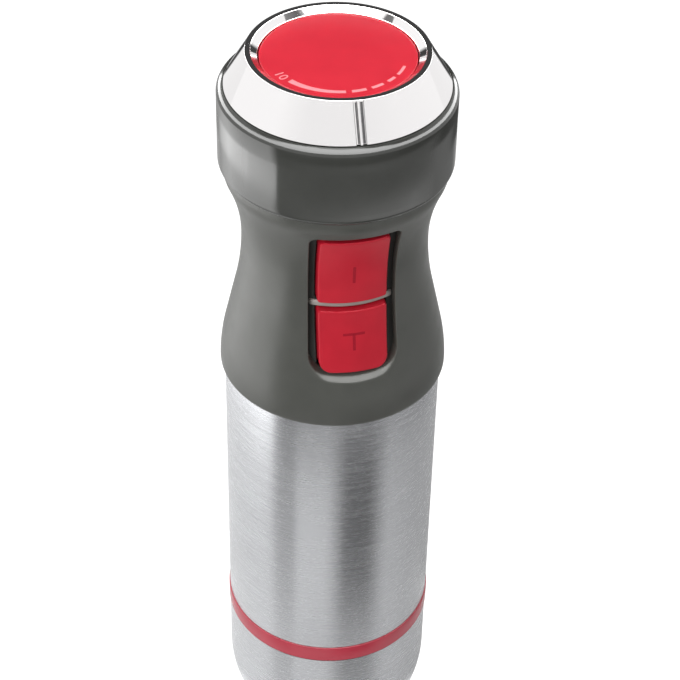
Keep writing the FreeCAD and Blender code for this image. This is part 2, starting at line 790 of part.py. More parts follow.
def blade_wing(bend):
    """One wing along +X, ground sharp on its leading side and bent at its root."""
    section = [(-5.2, 0.0), (-5.2, BLADE_THICK), (1.4, BLADE_THICK), (5.2, 0.15), (5.2, 0.0)]
    points = [FreeCAD.Vector(6.2, y, z) for y, z in section + section[:1]]
    bar = Part.Face(Part.makePolygon(points)).extrude(FreeCAD.Vector(25.0, 0, 0))
    plan = [
        FreeCAD.Vector(3.0, -5.2, -1),
        FreeCAD.Vector(17.0, -5.2, -1),
        FreeCAD.Vector(22.5, -2.6, -1),
        FreeCAD.Vector(BLADE_R, 2.4, -1),
        FreeCAD.Vector(18.0, 4.9, -1),
        FreeCAD.Vector(3.0, 5.2, -1),
    ]
    edges = [
        Part.LineSegment(plan[0], plan[1]).toShape(),
        Part.Arc(plan[1], plan[2], plan[3]).toShape(),
        Part.Arc(plan[3], plan[4], plan[5]).toShape(),
        Part.LineSegment(plan[5], plan[0]).toShape(),
    ]
    wing = bar.common(Part.Face(Part.Wire(edges)).extrude(FreeCAD.Vector(0, 0, 4.0)))
    wing.rotate(FreeCAD.Vector(7.0, 0, 0), Y_AXIS, bend)
    wing.translate(FreeCAD.Vector(0, 0, BLADE_Z))
    return wing


def blade():
    """Two-winged blade: one wing rises, the other dips."""
    hub = cylinder(7.6, BLADE_Z, BLADE_Z + 2.2)
    collar = cylinder(6.4, BLADE_Z, 25.6)
    rising = blade_wing(-20.0)
    dipping = blade_wing(14.0)
    dipping.rotate(ORIGIN, Z_AXIS, 180)
    whole = fused([hub, collar, rising, dipping])
    whole = whole.cut(cylinder(SHAFT_R, 18.0, 30.0))
    return whole.cut(cylinder(2.5, 10.0, 19.0))


def blade_screw():
    """Domed cap nut under the blade."""
    dome = lathe(
        (0.0, 12.4),
        (2.6, 12.4),
        ((4.4, 13.1), (5.2, 14.8)),
        (5.2, BLADE_Z),
        (0.0, BLADE_Z),
    )
    return dome.cut(cylinder(2.5, 14.0, 18.0))


# --- every node of the assembly ---------------------------------------------
def pieces():
    return {
        "grip_shell": grip_shell(),
        "button_frame": button_frame(),
        "power_button": button(POWER_Z, 0.8, 1.2, POWER_INSET),
        "turbo_button": button(TURBO_Z, 4.5, 1.2, TURBO_INSET),
        "power_spring": button_spring(POWER_Z, -21.0),
        "turbo_spring": button_spring(TURBO_Z, -22.4),
        "power_switch": micro_switch(POWER_Z),
        "turbo_switch": micro_switch(TURBO_Z),
        "circuit_board": circuit_board(),
        "head_collar": head_collar(),
        "speed_dial": speed_dial(),
        "potentiometer_pinion": potentiometer_pinion(),
        "potentiometer_body": potentiometer_body(),
        "dial_deck": dial_deck(),
        "disc_carrier": disc_carrier(),
        "scale_disc": scale_disc(),
        "cord_inlet": cord_inlet(),
        "deck_screws": deck_screws(),
        "motor_sleeve": motor_sleeve(),
        "leg_socket": leg_socket(),
        "lower_bracket": lower_bracket(),
        "motor_cradle": motor_cradle(),
        "stator_core": stator_core(),
        "field_coils": field_coils(),
        "rotor_core": rotor_core(),
        "rotor_windings": rotor_windings(),
        "commutator": commutator(),
        "motor_shaft": motor_shaft(),
        "cooling_fan": cooling_fan(),
        "lower_bearing": bearing(11.0, 231.5, 237.5),
        "upper_bearing": bearing(9.5, BRACKET_LOW + 1.2, BRACKET_LOW + 7.0),
        "upper_bracket": upper_bracket(),
        "brush_holders": brush_holders(),
        "carbon_brushes": carbon_brushes(),
        "upper_coupling": upper_coupling(),
        "joint_ring": joint_ring(),
        "leg_neck": leg_neck(),
        "leg_shell": leg_shell(),
        "blade_guard": blade_guard(),
        "bush_housing": bush_housing(),
        "lower_bush": lower_bush(),
        "upper_bush": upper_bush(),
        "lip_seal": lip_seal(),
        "drive_spindle": drive_spindle(),
        "lower_coupling": lower_coupling(),
        "blade": blade(),
        "blade_screw": blade_screw(),
    }


def main():
    os.makedirs("parts", exist_ok=True)
    for name, shape in pieces().items():
        shape.exportStep(f"parts/{name}.step")
        solids = len(shape.Solids)
        print(f"{name}: {solids} solid(s), {shape.Volume / 1000.0:.2f} cm3, valid {shape.isValid()}")


main()
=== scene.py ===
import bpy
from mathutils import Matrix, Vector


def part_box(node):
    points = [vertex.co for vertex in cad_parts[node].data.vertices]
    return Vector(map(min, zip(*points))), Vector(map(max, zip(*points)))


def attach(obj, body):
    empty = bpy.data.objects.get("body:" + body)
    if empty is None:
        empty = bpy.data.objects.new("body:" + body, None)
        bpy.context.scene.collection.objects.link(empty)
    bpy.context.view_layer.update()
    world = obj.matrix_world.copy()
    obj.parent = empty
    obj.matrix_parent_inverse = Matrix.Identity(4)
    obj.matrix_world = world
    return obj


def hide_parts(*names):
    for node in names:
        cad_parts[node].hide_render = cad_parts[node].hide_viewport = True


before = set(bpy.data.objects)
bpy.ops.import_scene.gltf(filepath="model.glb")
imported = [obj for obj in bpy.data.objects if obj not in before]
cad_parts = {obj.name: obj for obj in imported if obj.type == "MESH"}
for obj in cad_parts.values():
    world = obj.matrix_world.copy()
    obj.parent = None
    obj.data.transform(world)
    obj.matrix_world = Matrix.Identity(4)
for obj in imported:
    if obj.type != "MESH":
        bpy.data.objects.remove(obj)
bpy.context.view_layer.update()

import math

import bmesh
import bpy
import numpy as np
from bpy.props import FloatProperty, FloatVectorProperty, PointerProperty
from mathutils import Matrix

bl_info = {
    "name": "Hand Immersion Blender",
    "version": (1, 0, 0),
    "blender": (4, 5, 0),
    "location": "3D View > Sidebar > Hand Blender",
    "description": "Skins, finishes and studio for the hand immersion blender",
    "category": "Add Mesh",
}

MM = 0.001
FULL_TURN = 2.0 * math.pi
# Points closer than this are one point.
MERGE = 0.002 * MM
# The radius at which the wrap UV map is as wide as the surface.
WRAP_RADIUS = 30.0 * MM


# --- colours and properties ---------------------------------------------------
def linear(code):
    """Linear RGB of an sRGB hex colour."""
    values = [int(code[place:place + 2], 16) / 255.0 for place in (1, 3, 5)]
    return tuple(v / 12.92 if v <= 0.04045 else ((v + 0.055) / 1.055) ** 2.4 for v in values)


def low(node_name):
    """Lowest corner of a CAD node at rest."""
    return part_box(node_name)[0]


def high(node_name):
    """Highest corner of a CAD node at rest."""
    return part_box(node_name)[1]


def length(name, text, value):
    return FloatProperty(name=name, description=text, default=value, unit="LENGTH", precision=5)


def angle(name, text, degrees):
    return FloatProperty(name=name, description=text, default=math.radians(degrees), subtype="ANGLE")


def paint(name, text, code):
    return FloatVectorProperty(
        name=name, description=text, default=linear(code), size=3, min=0.0, max=1.0, subtype="COLOR"
    )


class GripSizes(bpy.types.PropertyGroup):
    """Side of the soft grip and its button pocket."""

    foot: length("Foot", "Height of the grip's lower edge", low("grip_shell").z)
    bulge_height: length("Bulge height", "Height of the widest place", 305.0 * MM)
    bulge_radius: length("Bulge radius", "Widest radius, over the steel sleeve", high("grip_shell").x)
    waist_height: length("Waist height", "Height of the narrowest place", 351.5 * MM)
    waist_radius: length("Waist radius", "Radius at the waist", 27.1 * MM)
    top: length("Top", "Height where the collar begins", low("head_collar").z)
    bulge_bend: length("Bulge bend", "Radius of the convex bend over the sleeve", 60.2 * MM)
    flank_bend: length("Flank bend", "Radius of the hollow bend below the waist", 85.0 * MM)
    neck_bend: length("Neck bend", "Radius of the hollow bend above the waist", 50.0 * MM)
    shoulder_bend: length("Shoulder bend", "Radius of the bend under the collar", 10.3 * MM)
    flank_turn: angle("Flank turn", "How far the side leans below the waist", 13.0)
    neck_turn: angle("Neck turn", "How far the side leans above the waist", 24.0)
    wall: length("Wall", "Thickness of the grip's wall", 2.6 * MM)
    pocket_lip: length("Pocket lip", "Rounding of the pocket's outer edge", 0.45 * MM)
    foot_edge: length("Foot edge", "Rounding of the grip's lower edge", 1.6 * MM)


class ButtonSizes(bpy.types.PropertyGroup):
    """The two push buttons and the bar between them."""

    half_width: length("Half width", "Half the width of a button", 10.0 * MM)
    power_low: length("Power low", "Lower edge of the power button", low("power_button").z)
    power_high: length("Power high", "Upper edge of the power button", high("power_button").z)
    turbo_low: length("Turbo low", "Lower edge of the turbo button", low("turbo_button").z)
    turbo_high: length("Turbo high", "Upper edge of the turbo button", high("turbo_button").z)
    rounding: length("Rounding", "Rounding of a button's edge", 0.55 * MM)
    gap: length("Gap", "Gap round a button", 0.3 * MM)


class HeadSizes(bpy.types.PropertyGroup):
    """Collar, speed dial, scale disc and cord gland."""

    collar_radius: length("Collar radius", "Outer radius of the collar", high("head_collar").x)
    collar_low: length("Collar low", "Lower edge of the collar", low("head_collar").z)
    collar_high: length("Collar high", "Upper edge of the collar", high("head_collar").z)
    dial_radius: length("Dial radius", "Outer radius of the dial's bevel", 31.5 * MM)
    dial_low: length("Dial low", "Height where the dial's bevel begins", 401.5 * MM)
    disc_radius: length("Disc radius", "Radius of the red disc", high("scale_disc").x)
    disc_low: length("Disc low", "Underside of the red disc", low("scale_disc").z)
    disc_high: length("Disc high", "Top of the red disc", high("scale_disc").z)
    print_radius: length("Print radius", "Middle of the scale printed on the disc", 18.6 * MM)
    inlet_height: length(
        "Inlet height", "Height of the cord gland's axis", (low("cord_inlet").z + high("cord_inlet").z) / 2
    )
    inlet_radius: length("Inlet radius", "Radius of the cord gland", high("cord_inlet").x)


class LegSizes(bpy.types.PropertyGroup):
    """Steel sleeve, coloured band, leg and bell."""

    sleeve_radius: length("Sleeve radius", "Outer radius of the steel sleeve", high("motor_sleeve").x)
    sleeve_low: length("Sleeve low", "Lower edge of the steel sleeve", low("motor_sleeve").z)
    sleeve_high: length("Sleeve high", "Upper edge of the steel sleeve", high("motor_sleeve").z)
    wall: length("Wall", "Thickness of the drawn steel", 0.8 * MM)
    band_radius: length("Band radius", "Outer radius of the coloured band", high("joint_ring").x)
    band_low: length("Band low", "Lower edge of the coloured band", low("joint_ring").z)
    band_high: length("Band high", "Upper edge of the coloured band", high("joint_ring").z)
    leg_top: length("Leg top", "Upper edge of the steel leg", high("leg_shell").z)
    shoulder: length("Shoulder", "Height where the leg starts to narrow", 181.0 * MM)
    shoulder_bend: length("Shoulder bend", "Radius of the leg's shoulder", 38.0 * MM)
    shoulder_turn: angle("Shoulder turn", "How far the shoulder turns in", 48.0)
    tube_radius: length("Tube radius", "Radius of the leg's narrow tube", 16.5 * MM)
    tube_foot: length("Tube foot", "Height where the tube opens into the bell", low("leg_shell").z)
    bell_radius: length("Bell radius", "Outer radius of the bell", high("blade_guard").x)
    bell_wall: length("Bell wall", "Thickness of the bell", 1.0 * MM)
    bell_bend: length("Bell bend", "Radius of the hollow bend where the bell begins", 10.0 * MM)
    bell_turn: angle("Bell turn", "How far the bell turns out", 50.0)
    arch_radius: length("Arch radius", "Radius of the arches in the rim", 11.5 * MM)
    arch_drop: length("Arch drop", "How far below the rim the arches are centred", 3.0 * MM)


class Colours(bpy.types.PropertyGroup):
    """Colours of the finishes."""

    grip: paint("Grip", "Soft grip", "#434440")
    collar: paint("Collar", "Glossy collar", "#353633")
    chrome: paint("Chrome", "Plated dial", "#EDEBEB")
    disc: paint("Disc", "Disc in the dial", "#D42638")
    ink: paint("Ink", "Print on the disc", "#F79299")
    buttons: paint("Buttons", "Push buttons", "#AE192A")
    marks: paint("Marks", "Sunk marks on the buttons", "#8F1324")
    band: paint("Band", "Band over the leg", "#A82A3C")
    steel: paint("Steel", "Brushed steel", "#CBCCCF")


class StudioSizes(bpy.types.PropertyGroup):
    """Place, turn and lens of the camera."""

    turn: angle("Camera turn", "Angle of the camera round the axis, towards -X", 12.3)
    distance: length("Camera distance", "Distance of the camera from the axis", 480.3 * MM)
    height: length("Camera height", "Height of the camera", 704.5 * MM)
    pitch: angle("Pitch", "How far the camera looks down", 39.40)
    yaw: angle("Yaw", "How far the camera looks to its right", 0.265)
    roll: angle("Roll", "How far the camera leans", 1.321)
    lens: FloatProperty(name="Lens", description="Focal length in mm", default=108.87, subtype="DISTANCE_CAMERA")


# --- surfaces -----------------------------------------------------------------
def joined(*values):
    """Points from their coordinates, each stretched to the same shape."""
    return np.stack(np.broadcast_arrays(*values), axis=-1)


def stepped(marks, counts):
    """Values from the first mark to the last, with so many equal steps from
    each mark to the next."""
    runs = [np.linspace(start, end, count + 1)[:-1] for start, end, count in zip(marks, marks[1:], counts)]
    return np.concatenate(runs + [marks[-1:]])


def around(radius, height, turn):
    """Surface of revolution: x = r sin t, y = -r cos t, z = h. The angle t is
    0 at the front and grows towards +X."""
    return joined(radius * np.sin(turn), -radius * np.cos(turn), height)


def swept(profile, turns):
    """A (radius, height) profile carried round the vertical axis."""
    return around(profile[:, :1], profile[:, 1:], turns)


def revolved(profile, count=192):
    """A (radius, height) profile carried once round the vertical axis."""
    return swept(profile, np.linspace(0.0, FULL_TURN, count + 1))


def spun_along_y(profile, height, count=64):
    """A (radius, y) profile carried round a horizontal axis: x = r cos a,
    z = h + r sin a."""
    turns = np.linspace(0.0, FULL_TURN, count + 1)
    radius, depth = profile[:, :1], profile[:, 1:]
    return joined(radius * np.cos(turns), depth, height + radius * np.sin(turns))


def rounded(corners, steps=6):
    """Closed profile with rounded corners. Each row is (radius, height,
    rounding). An arc's points lie between its two ends by the slerp formula
    (sin((1-s)w) a + sin(sw) b) / sin w about the arc's centre."""
    corners = np.array(corners, float)
    here, bend = corners[:, :2], corners[:, 2:]
    back = np.roll(here, 1, axis=0) - here
    ahead = np.roll(here, -1, axis=0) - here
    back /= np.linalg.norm(back, axis=1, keepdims=True)
    ahead /= np.linalg.norm(ahead, axis=1, keepdims=True)
    half = np.arccos(np.clip(np.sum(back * ahead, axis=1, keepdims=True), -0.9999, 0.9999)) / 2.0
    middle = back + ahead
    middle /= np.linalg.norm(middle, axis=1, keepdims=True)
    centre = here + middle * bend / np.sin(half)
    first = here + back * bend / np.tan(half) - centre
    last = here + ahead * bend / np.tan(half) - centre
    sweep = (math.pi - 2.0 * half)[:, None, :]
    share = np.linspace(0.0, 1.0, steps + 1)[None, :, None]
    mixed = np.sin((1.0 - share) * sweep) * first[:, None] + np.sin(share * sweep) * last[:, None]
    points = (centre[:, None] + mixed / np.sin(sweep)).reshape(-1, 2)
    return np.concatenate((points, points[:1]))


def arc(centre, radius, start, end, count):
    """Points (radius, height) of an arc between two angles in radians. Its own
    radius is one number, or one across and one up for an ellipse."""
    angles = np.linspace(start, end, count)
    return np.array(centre) + joined(np.cos(angles), np.sin(angles)) * radius


def eased(value, start, end):
    """0 up to start, 1 from end on, and an S-shaped run between them."""
    share = np.clip((value - start) / (end - start), 0.0, 1.0)
    return share * share * (3.0 - 2.0 * share)


def unrolled(points):
    """Points as (turn, height)."""
    return joined(np.arctan2(points[:, 0], -points[:, 1]), points[:, 2])


def capped(strip):
    """A strip of four sides, whose last row is its first, with its two ends."""
    return [strip] + [np.stack((strip[:2, end], strip[3:1:-1, end])) for end in (0, -1)]


def outline(half, foot, head, foot_corner, head_corner, cells):
    """Closed outline of a rounded rectangle as (across, height). It starts in
    the middle of the lower right corner and runs up the right side. cells is
    (corner, level, upright): how many steps each corner, level side and upright
    side gets, so that outlines with the same cells match point for point."""
    corner, level, upright = cells

    def bend(centre_x, centre_z, radius, start, degrees=90):
        steps = corner * degrees // 90
        return arc((centre_x, centre_z), radius, math.radians(start), math.radians(start + degrees), steps + 1)[:-1]

    def side(start, end, count):
        return np.linspace(start, end, count, endpoint=False)

    right, left = half - foot_corner, foot_corner - half
    right_up, left_up = half - head_corner, head_corner - half
    bottom, top = foot + foot_corner, head - head_corner
    parts = (
        bend(right, bottom, foot_corner, -45, 45),
        side((half, bottom), (half, top), upright),
        bend(right_up, top, head_corner, 0),
        side((right_up, head), (left_up, head), level),
        bend(left_up, top, head_corner, 90),
        side((-half, top), (-half, bottom), upright),
        bend(left, bottom, foot_corner, 180),
        side((left, foot), (right, foot), level),
        bend(right, bottom, foot_corner, 270, 45),
    )
    points = np.concatenate(parts)
    return np.concatenate((points, points[:1]))


def windowed(radius_at, turns, across, heights, up, edge, rings=10):
    """Grids of a surface of revolution with one window. across and up are the
    first and last column and row of the block that makes room for it. Inside
    the block the surface runs in rings, each a straight mix in (turn, height)
    of the block's border and the window's edge."""
    left, right = across
    foot, head = up
    whole = around(radius_at(heights)[:, None], heights[:, None], turns[None, :])
    border = np.concatenate((
        joined(turns[right], heights[foot:head]),
        joined(turns[right:left:-1], heights[head]),
        joined(turns[left], heights[head:foot:-1]),
        joined(turns[left:right], heights[foot]),
        [[turns[right], heights[foot]]],
    ))
    share = np.linspace(0.0, 1.0, rings)[:, None, None]
    path = border + share * (edge - border)
    return [
        whole[:, :left + 1],
        whole[:, right:],
        whole[:foot + 1, left:right + 1],
        whole[head:, left:right + 1],
        around(radius_at(path[..., 1]), path[..., 1], path[..., 0]),
    ]


def quads(grid, start):
    """Corner numbers of a grid's faces, counted from start."""
    index = start + np.arange(grid.shape[0] * grid.shape[1]).reshape(grid.shape[:2])
    return joined(index[:-1, :-1], index[:-1, 1:], index[1:, 1:], index[1:, :-1]).reshape(-1, 4)


def wrap(mesh):
    """The piece's own UV map: u = t x 30 mm round the axis, v = height. The
    finish of brushed steel follows it."""
    count = len(mesh.loops)
    corner = np.empty(count, dtype=np.int32)
    mesh.loops.foreach_get("vertex_index", corner)
    place = np.empty(len(mesh.vertices) * 3, dtype=np.float32)
    mesh.vertices.foreach_get("co", place)
    place = place.reshape(-1, 3)[corner]
    sizes = np.empty(len(mesh.polygons), dtype=np.int32)
    mesh.polygons.foreach_get("loop_total", sizes)
    starts = np.concatenate(([0], np.cumsum(sizes)[:-1]))
    turn = np.arctan2(place[:, 0], -place[:, 1])
    first = np.repeat(turn[starts], sizes)
    turn -= FULL_TURN * np.round((turn - first) / FULL_TURN)
    layer = mesh.uv_layers.new(name="wrap")
    layer.data.foreach_set("uv", joined(turn * WRAP_RADIUS, place[:, 2]).astype(np.float32).ravel())


def add_object(name, data):
    """Puts a mesh, a lamp or a camera into the scene."""
    made = bpy.data.objects.new(name, data)
    bpy.context.scene.collection.objects.link(made)
    return made


def add_piece(name, grids, material, body, nodes=(), sharp=35.0):
    """Joins grids of points into one closed mesh, with its place in its
    vertices, and puts it on its body."""
    starts = np.cumsum([0] + [grid.shape[0] * grid.shape[1] for grid in grids])
    points = np.concatenate([grid.reshape(-1, 3) for grid in grids])
    faces = np.concatenate([quads(grid, start) for grid, start in zip(grids, starts)])
    mesh = bpy.data.meshes.new(name)
    mesh.from_pydata(points.tolist(), [], faces.tolist())
    work = bmesh.new()
    work.from_mesh(mesh)
    bmesh.ops.remove_doubles(work, verts=work.verts, dist=MERGE)
    bmesh.ops.recalc_face_normals(work, faces=work.faces)
    work.to_mesh(mesh)
    work.free()
    mesh.shade_smooth()
    mesh.set_sharp_from_angle(angle=math.radians(sharp))
    wrap(mesh)
    mesh.materials.append(material)
    piece = add_object(name, mesh)
    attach(piece, body)
    if nodes:
        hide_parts(*nodes)


# --- finishes -----------------------------------------------------------------
def node(tree, kind, inputs=None, **settings):
    """Adds a node, sets its properties, and fills its inputs: a socket is
    linked and anything else is set."""
    made = tree.nodes.new(kind)
    for key, value in settings.items():
        setattr(made, key, value)
    for key, value in (inputs or {}).items():
        if isinstance(value, bpy.types.NodeSocket):
            tree.links.new(value, made.inputs[key])
        else:
            made.inputs[key].default_value = value
    return made


def finish(name, colour, roughness, **values):
    """A material with its shader's own sockets set. Returns the material, its
    tree and the shader."""
    material = bpy.data.materials.new(name)
    material.use_nodes = True
    material.diffuse_color = (*colour, 1.0)
    shader = material.node_tree.nodes["Principled BSDF"]
    shader.inputs["Base Color"].default_value = (*colour, 1.0)
    shader.inputs["Roughness"].default_value = roughness
    for key, value in values.items():
        shader.inputs[key.replace("_", " ")].default_value = value
    return material, material.node_tree, shader


def shades(tree, factor, colour, spread):
    """Output that runs from a darker to a lighter shade of a colour."""
    ramp = node(tree, "ShaderNodeValToRGB", {"Fac": factor})
    ends = ramp.color_ramp.elements
    ends[0].position, ends[1].position = 0.3, 0.7
    ends[0].color = (*(value * (1.0 - spread) for value in colour), 1.0)
    ends[1].color = (*(min(1.0, value * (1.0 + spread)) for value in colour), 1.0)
    return ramp.outputs["Color"]


def pattern(tree, size, stretch=(1.0, 1.0, 1.0), detail=2.0, roughness=0.5):
    """Noise on Object coordinates whose features are about size across, longer
    along each axis by stretch."""
    place = node(tree, "ShaderNodeTexCoord").outputs["Object"]
    scale = tuple(1.0 / (size * part) for part in stretch)
    mapped = node(tree, "ShaderNodeMapping", {"Vector": place, "Scale": scale}).outputs["Vector"]
    inputs = {"Vector": mapped, "Scale": 1.0, "Detail": detail, "Roughness": roughness}
    return node(tree, "ShaderNodeTexNoise", inputs).outputs["Fac"]


def span(tree, factor, start, end):
    """A factor between 0.3 and 0.7 stretched to run from start to end."""
    inputs = {"Value": factor, "From Min": 0.3, "From Max": 0.7, "To Min": start, "To Max": end}
    return node(tree, "ShaderNodeMapRange", inputs).outputs["Result"]


def emboss(tree, shader, height, strength, depth):
    """Gives the shader a bump from a pattern."""
    bump = node(tree, "ShaderNodeBump", {"Height": height, "Strength": strength, "Distance": depth})
    tree.links.new(bump.outputs["Normal"], shader.inputs["Normal"])


def moulded(name, colour, roughness, grain, depth, spread, **values):
    """Moulded plastic: faint clouds of shade a few millimetres wide, and a
    grain of the given size and depth from the mould's surface."""
    material, tree, shader = finish(name, colour, roughness, **values)
    clouds = pattern(tree, 6.0 * MM, detail=3.0)
    tree.links.new(shades(tree, clouds, colour, spread), shader.inputs["Base Color"])
    tree.links.new(span(tree, clouds, roughness * 0.9, roughness * 1.12), shader.inputs["Roughness"])
    emboss(tree, shader, pattern(tree, grain, detail=1.0), 0.6, depth)
    return material


def drawn_metal(name, colour, roughness, line, depth, spread, stretch, **values):
    """Metal with the lines of its making: streaks as wide as line, stretched
    along the way the tool went, over wider and fainter bands."""
    material, tree, shader = finish(name, colour, roughness, Metallic=1.0, **values)
    fine = pattern(tree, line, stretch, detail=2.0, roughness=0.6)
    bands = pattern(tree, line * 6.0, stretch, detail=2.0)
    both = node(tree, "ShaderNodeMath", {0: fine, 1: bands}, operation="ADD").outputs["Value"]
    mixed = node(tree, "ShaderNodeMath", {0: both, 1: 0.5}, operation="MULTIPLY").outputs["Value"]
    tree.links.new(shades(tree, mixed, colour, spread), shader.inputs["Base Color"])
    tree.links.new(span(tree, mixed, roughness * 0.85, roughness * 1.15), shader.inputs["Roughness"])
    emboss(tree, shader, fine, 0.5, depth)
    return material


def brushed_round(name, colours, roughness, line, depth, spread, stretch):
    """Steel brushed round the axis. Its highlights follow the wrap UV map:
    pulled out up and down, and sharp from side to side."""
    material = drawn_metal(
        name, colours.steel, roughness, line, depth, spread, (stretch, stretch, 1.0),
        Anisotropic=0.6, Anisotropic_Rotation=0.25,
    )
    tree = material.node_tree
    tangent = node(tree, "ShaderNodeTangent", direction_type="UV_MAP", uv_map="wrap").outputs["Tangent"]
    tree.links.new(tangent, tree.nodes["Principled BSDF"].inputs["Tangent"])
    return material


def soft_touch_paint(colours):
    # Soft-touch lacquer over moulded ABS: matte, with a fine even grain that
    # gives a wide dull highlight at the edges.
    return moulded(
        "Soft-touch lacquered ABS", colours.grip, 0.34, 0.35 * MM, 0.012 * MM, 0.05, Specular_IOR_Level=0.45
    )


def polished_abs(colours):
    # ABS from a polished mould: a clear mirror-like gloss with hard-edged
    # reflections, and barely any grain.
    return moulded("Polished ABS", colours.collar, 0.11, 1.2 * MM, 0.002 * MM, 0.04, IOR=1.54)


def chrome_plating(colours):
    # Bright chrome plating on ABS: a mirror with the slight waviness of the
    # plastic under it and faint wiping marks in its roughness.
    colour = colours.chrome
    material, tree, shader = finish("Chrome-plated ABS", colour, 0.05, Metallic=1.0)
    wiped = pattern(tree, 3.0 * MM, detail=3.0)
    tree.links.new(span(tree, wiped, 0.035, 0.075), shader.inputs["Roughness"])
    emboss(tree, shader, pattern(tree, 9.0 * MM, detail=0.0), 0.35, 0.02 * MM)
    return material


def pointer_painted_shade():
    # Painted shade: dark strips on the floor of the pointer's groove that stand in for its shade and dark reflections;
    # dull, and sunk between plated edges.
    return moulded("Painted groove shade", linear("#1E1D1E"), 0.55, 0.2 * MM, 0.01 * MM, 0.1)


def red_polycarbonate(colours):
    # Clear-coated polycarbonate disc: even colour under a smooth glossy top.
    return moulded(
        "Coated red polycarbonate", colours.disc, 0.32, 0.9 * MM, 0.002 * MM, 0.03,
        IOR=1.58, Coat_Weight=0.6, Coat_Roughness=0.08,
    )


def pad_ink(colours):
    # Pad-printed ink: a thin pale film, a little duller than the disc.
    return moulded("Pad-printed ink", colours.ink, 0.42, 0.12 * MM, 0.003 * MM, 0.06)


def satin_abs(colours):
    # ABS from a lightly etched mould: an even satin sheen that brightens the
    # rounded edges.
    return moulded("Satin red ABS", colours.buttons, 0.34, 0.25 * MM, 0.006 * MM, 0.05, Specular_IOR_Level=0.22)


def sunk_mark(colours):
    # The same ABS in the sunk marks: darker and duller, because they lie in
    # their own shade.
    return moulded(
        "Sunk satin red ABS", colours.marks, 0.6, 0.25 * MM, 0.008 * MM, 0.05, Specular_IOR_Level=0.15
    )


def bar_abs_painted_highlight():
    # Satin ABS of the bar between the buttons, painted paler than its own grey as a painted highlight for its bright
    # rounded ends.
    return moulded("Satin grey ABS with painted highlight", linear("#8C8883"), 0.32, 0.3 * MM, 0.006 * MM, 0.05)


def gloss_red_abs(colours):
    # Polished red ABS ring.
    return moulded("Polished red ABS", colours.band, 0.24, 0.8 * MM, 0.003 * MM, 0.04, IOR=1.54)


def brushed_steel(colours):
    # Stainless steel sleeve: fine level scratches, drawn about three times as
    # coarse as real ones so that they show.
    return brushed_round("Brushed stainless steel", colours, 0.26, 0.15 * MM, 0.003 * MM, 0.07, 22.0)


def satin_steel(colours):
    # Stainless steel leg, brushed more finely than the sleeve.
    return brushed_round("Satin stainless steel", colours, 0.27, 0.12 * MM, 0.004 * MM, 0.06, 60.0)


def inner_finishes():
    """Finishes of the parts inside, by the record's slot names."""
    bright = linear("#C9C9CC")
    return {
        # Stamped, ground and barrel-polished steel of blade and cap nut.
        "polished_steel": drawn_metal(
            "Polished stainless steel", bright, 0.16, 0.10 * MM, 0.002 * MM, 0.04, (30.0, 1.0, 30.0)
        ),
        # Cold-drawn spring wire: bright with draw lines.
        "spring_steel": drawn_metal(
            "Spring steel wire", linear("#A9A9AD"), 0.25, 0.08 * MM, 0.002 * MM, 0.08, (1.0, 12.0, 1.0)
        ),
        # Ground steel: fine rings round the shaft.
        "shaft_steel": drawn_metal(
            "Ground steel", linear("#B4B4B8"), 0.2, 0.12 * MM, 0.002 * MM, 0.06, (30.0, 30.0, 1.0)
        ),
        # Stack of stamped electrical steel: level layers half a millimetre thick.
        "lamination": drawn_metal(
            "Laminated electrical steel", linear("#6E6E74"), 0.45, 0.5 * MM, 0.05 * MM, 0.25, (80.0, 80.0, 1.0)
        ),
        # Enamelled copper wire: turns that run up and down the coils.
        "copper": drawn_metal(
            "Enamelled copper wire", linear("#B06A3C"), 0.3, 0.4 * MM, 0.08 * MM, 0.3, (1.0, 1.0, 40.0),
            Coat_Weight=0.5, Coat_Roughness=0.15,
        ),
        # Sheet brass with rolling lines.
        "brass": drawn_metal("Rolled brass", linear("#C2A15A"), 0.3, 0.2 * MM, 0.003 * MM, 0.08, (1.0, 20.0, 20.0)),
        # Sintered bronze: dull, with open pores.
        "bronze": drawn_metal(
            "Sintered bronze", linear("#9A7143"), 0.5, 0.25 * MM, 0.03 * MM, 0.25, (1.0, 1.0, 1.0)
        ),
        # Matt plastics and pressings, each with its own grain.
        "carbon": moulded("Pressed carbon", linear("#2B2B2D"), 0.7, 0.15 * MM, 0.02 * MM, 0.2),
        "black_plastic": moulded("Glass-filled nylon", linear("#232325"), 0.5, 0.3 * MM, 0.02 * MM, 0.12),
        "board_green": moulded("Glass epoxy laminate", linear("#1F5B38"), 0.35, 0.5 * MM, 0.01 * MM, 0.15),
        "seal_rubber": moulded("Nitrile rubber", linear("#262627"), 0.62, 0.3 * MM, 0.02 * MM, 0.1),
        "white_plastic": moulded("Acetal", linear("#D9D8D2"), 0.42, 0.4 * MM, 0.01 * MM, 0.04),
        # Moulding behind the buttons, with an etched grain: its own dark grey, made darker still as painted shade of
        # the pocket.
        "soft_grey": moulded(
            "Textured grey ABS with painted shade", linear("#2E302E"), 0.5, 0.3 * MM, 0.015 * MM, 0.05, Specular_IOR_Level=0.3
        ),
    }


# --- grip ---------------------------------------------------------------------
POCKET_CELLS = (16, 24, 40)


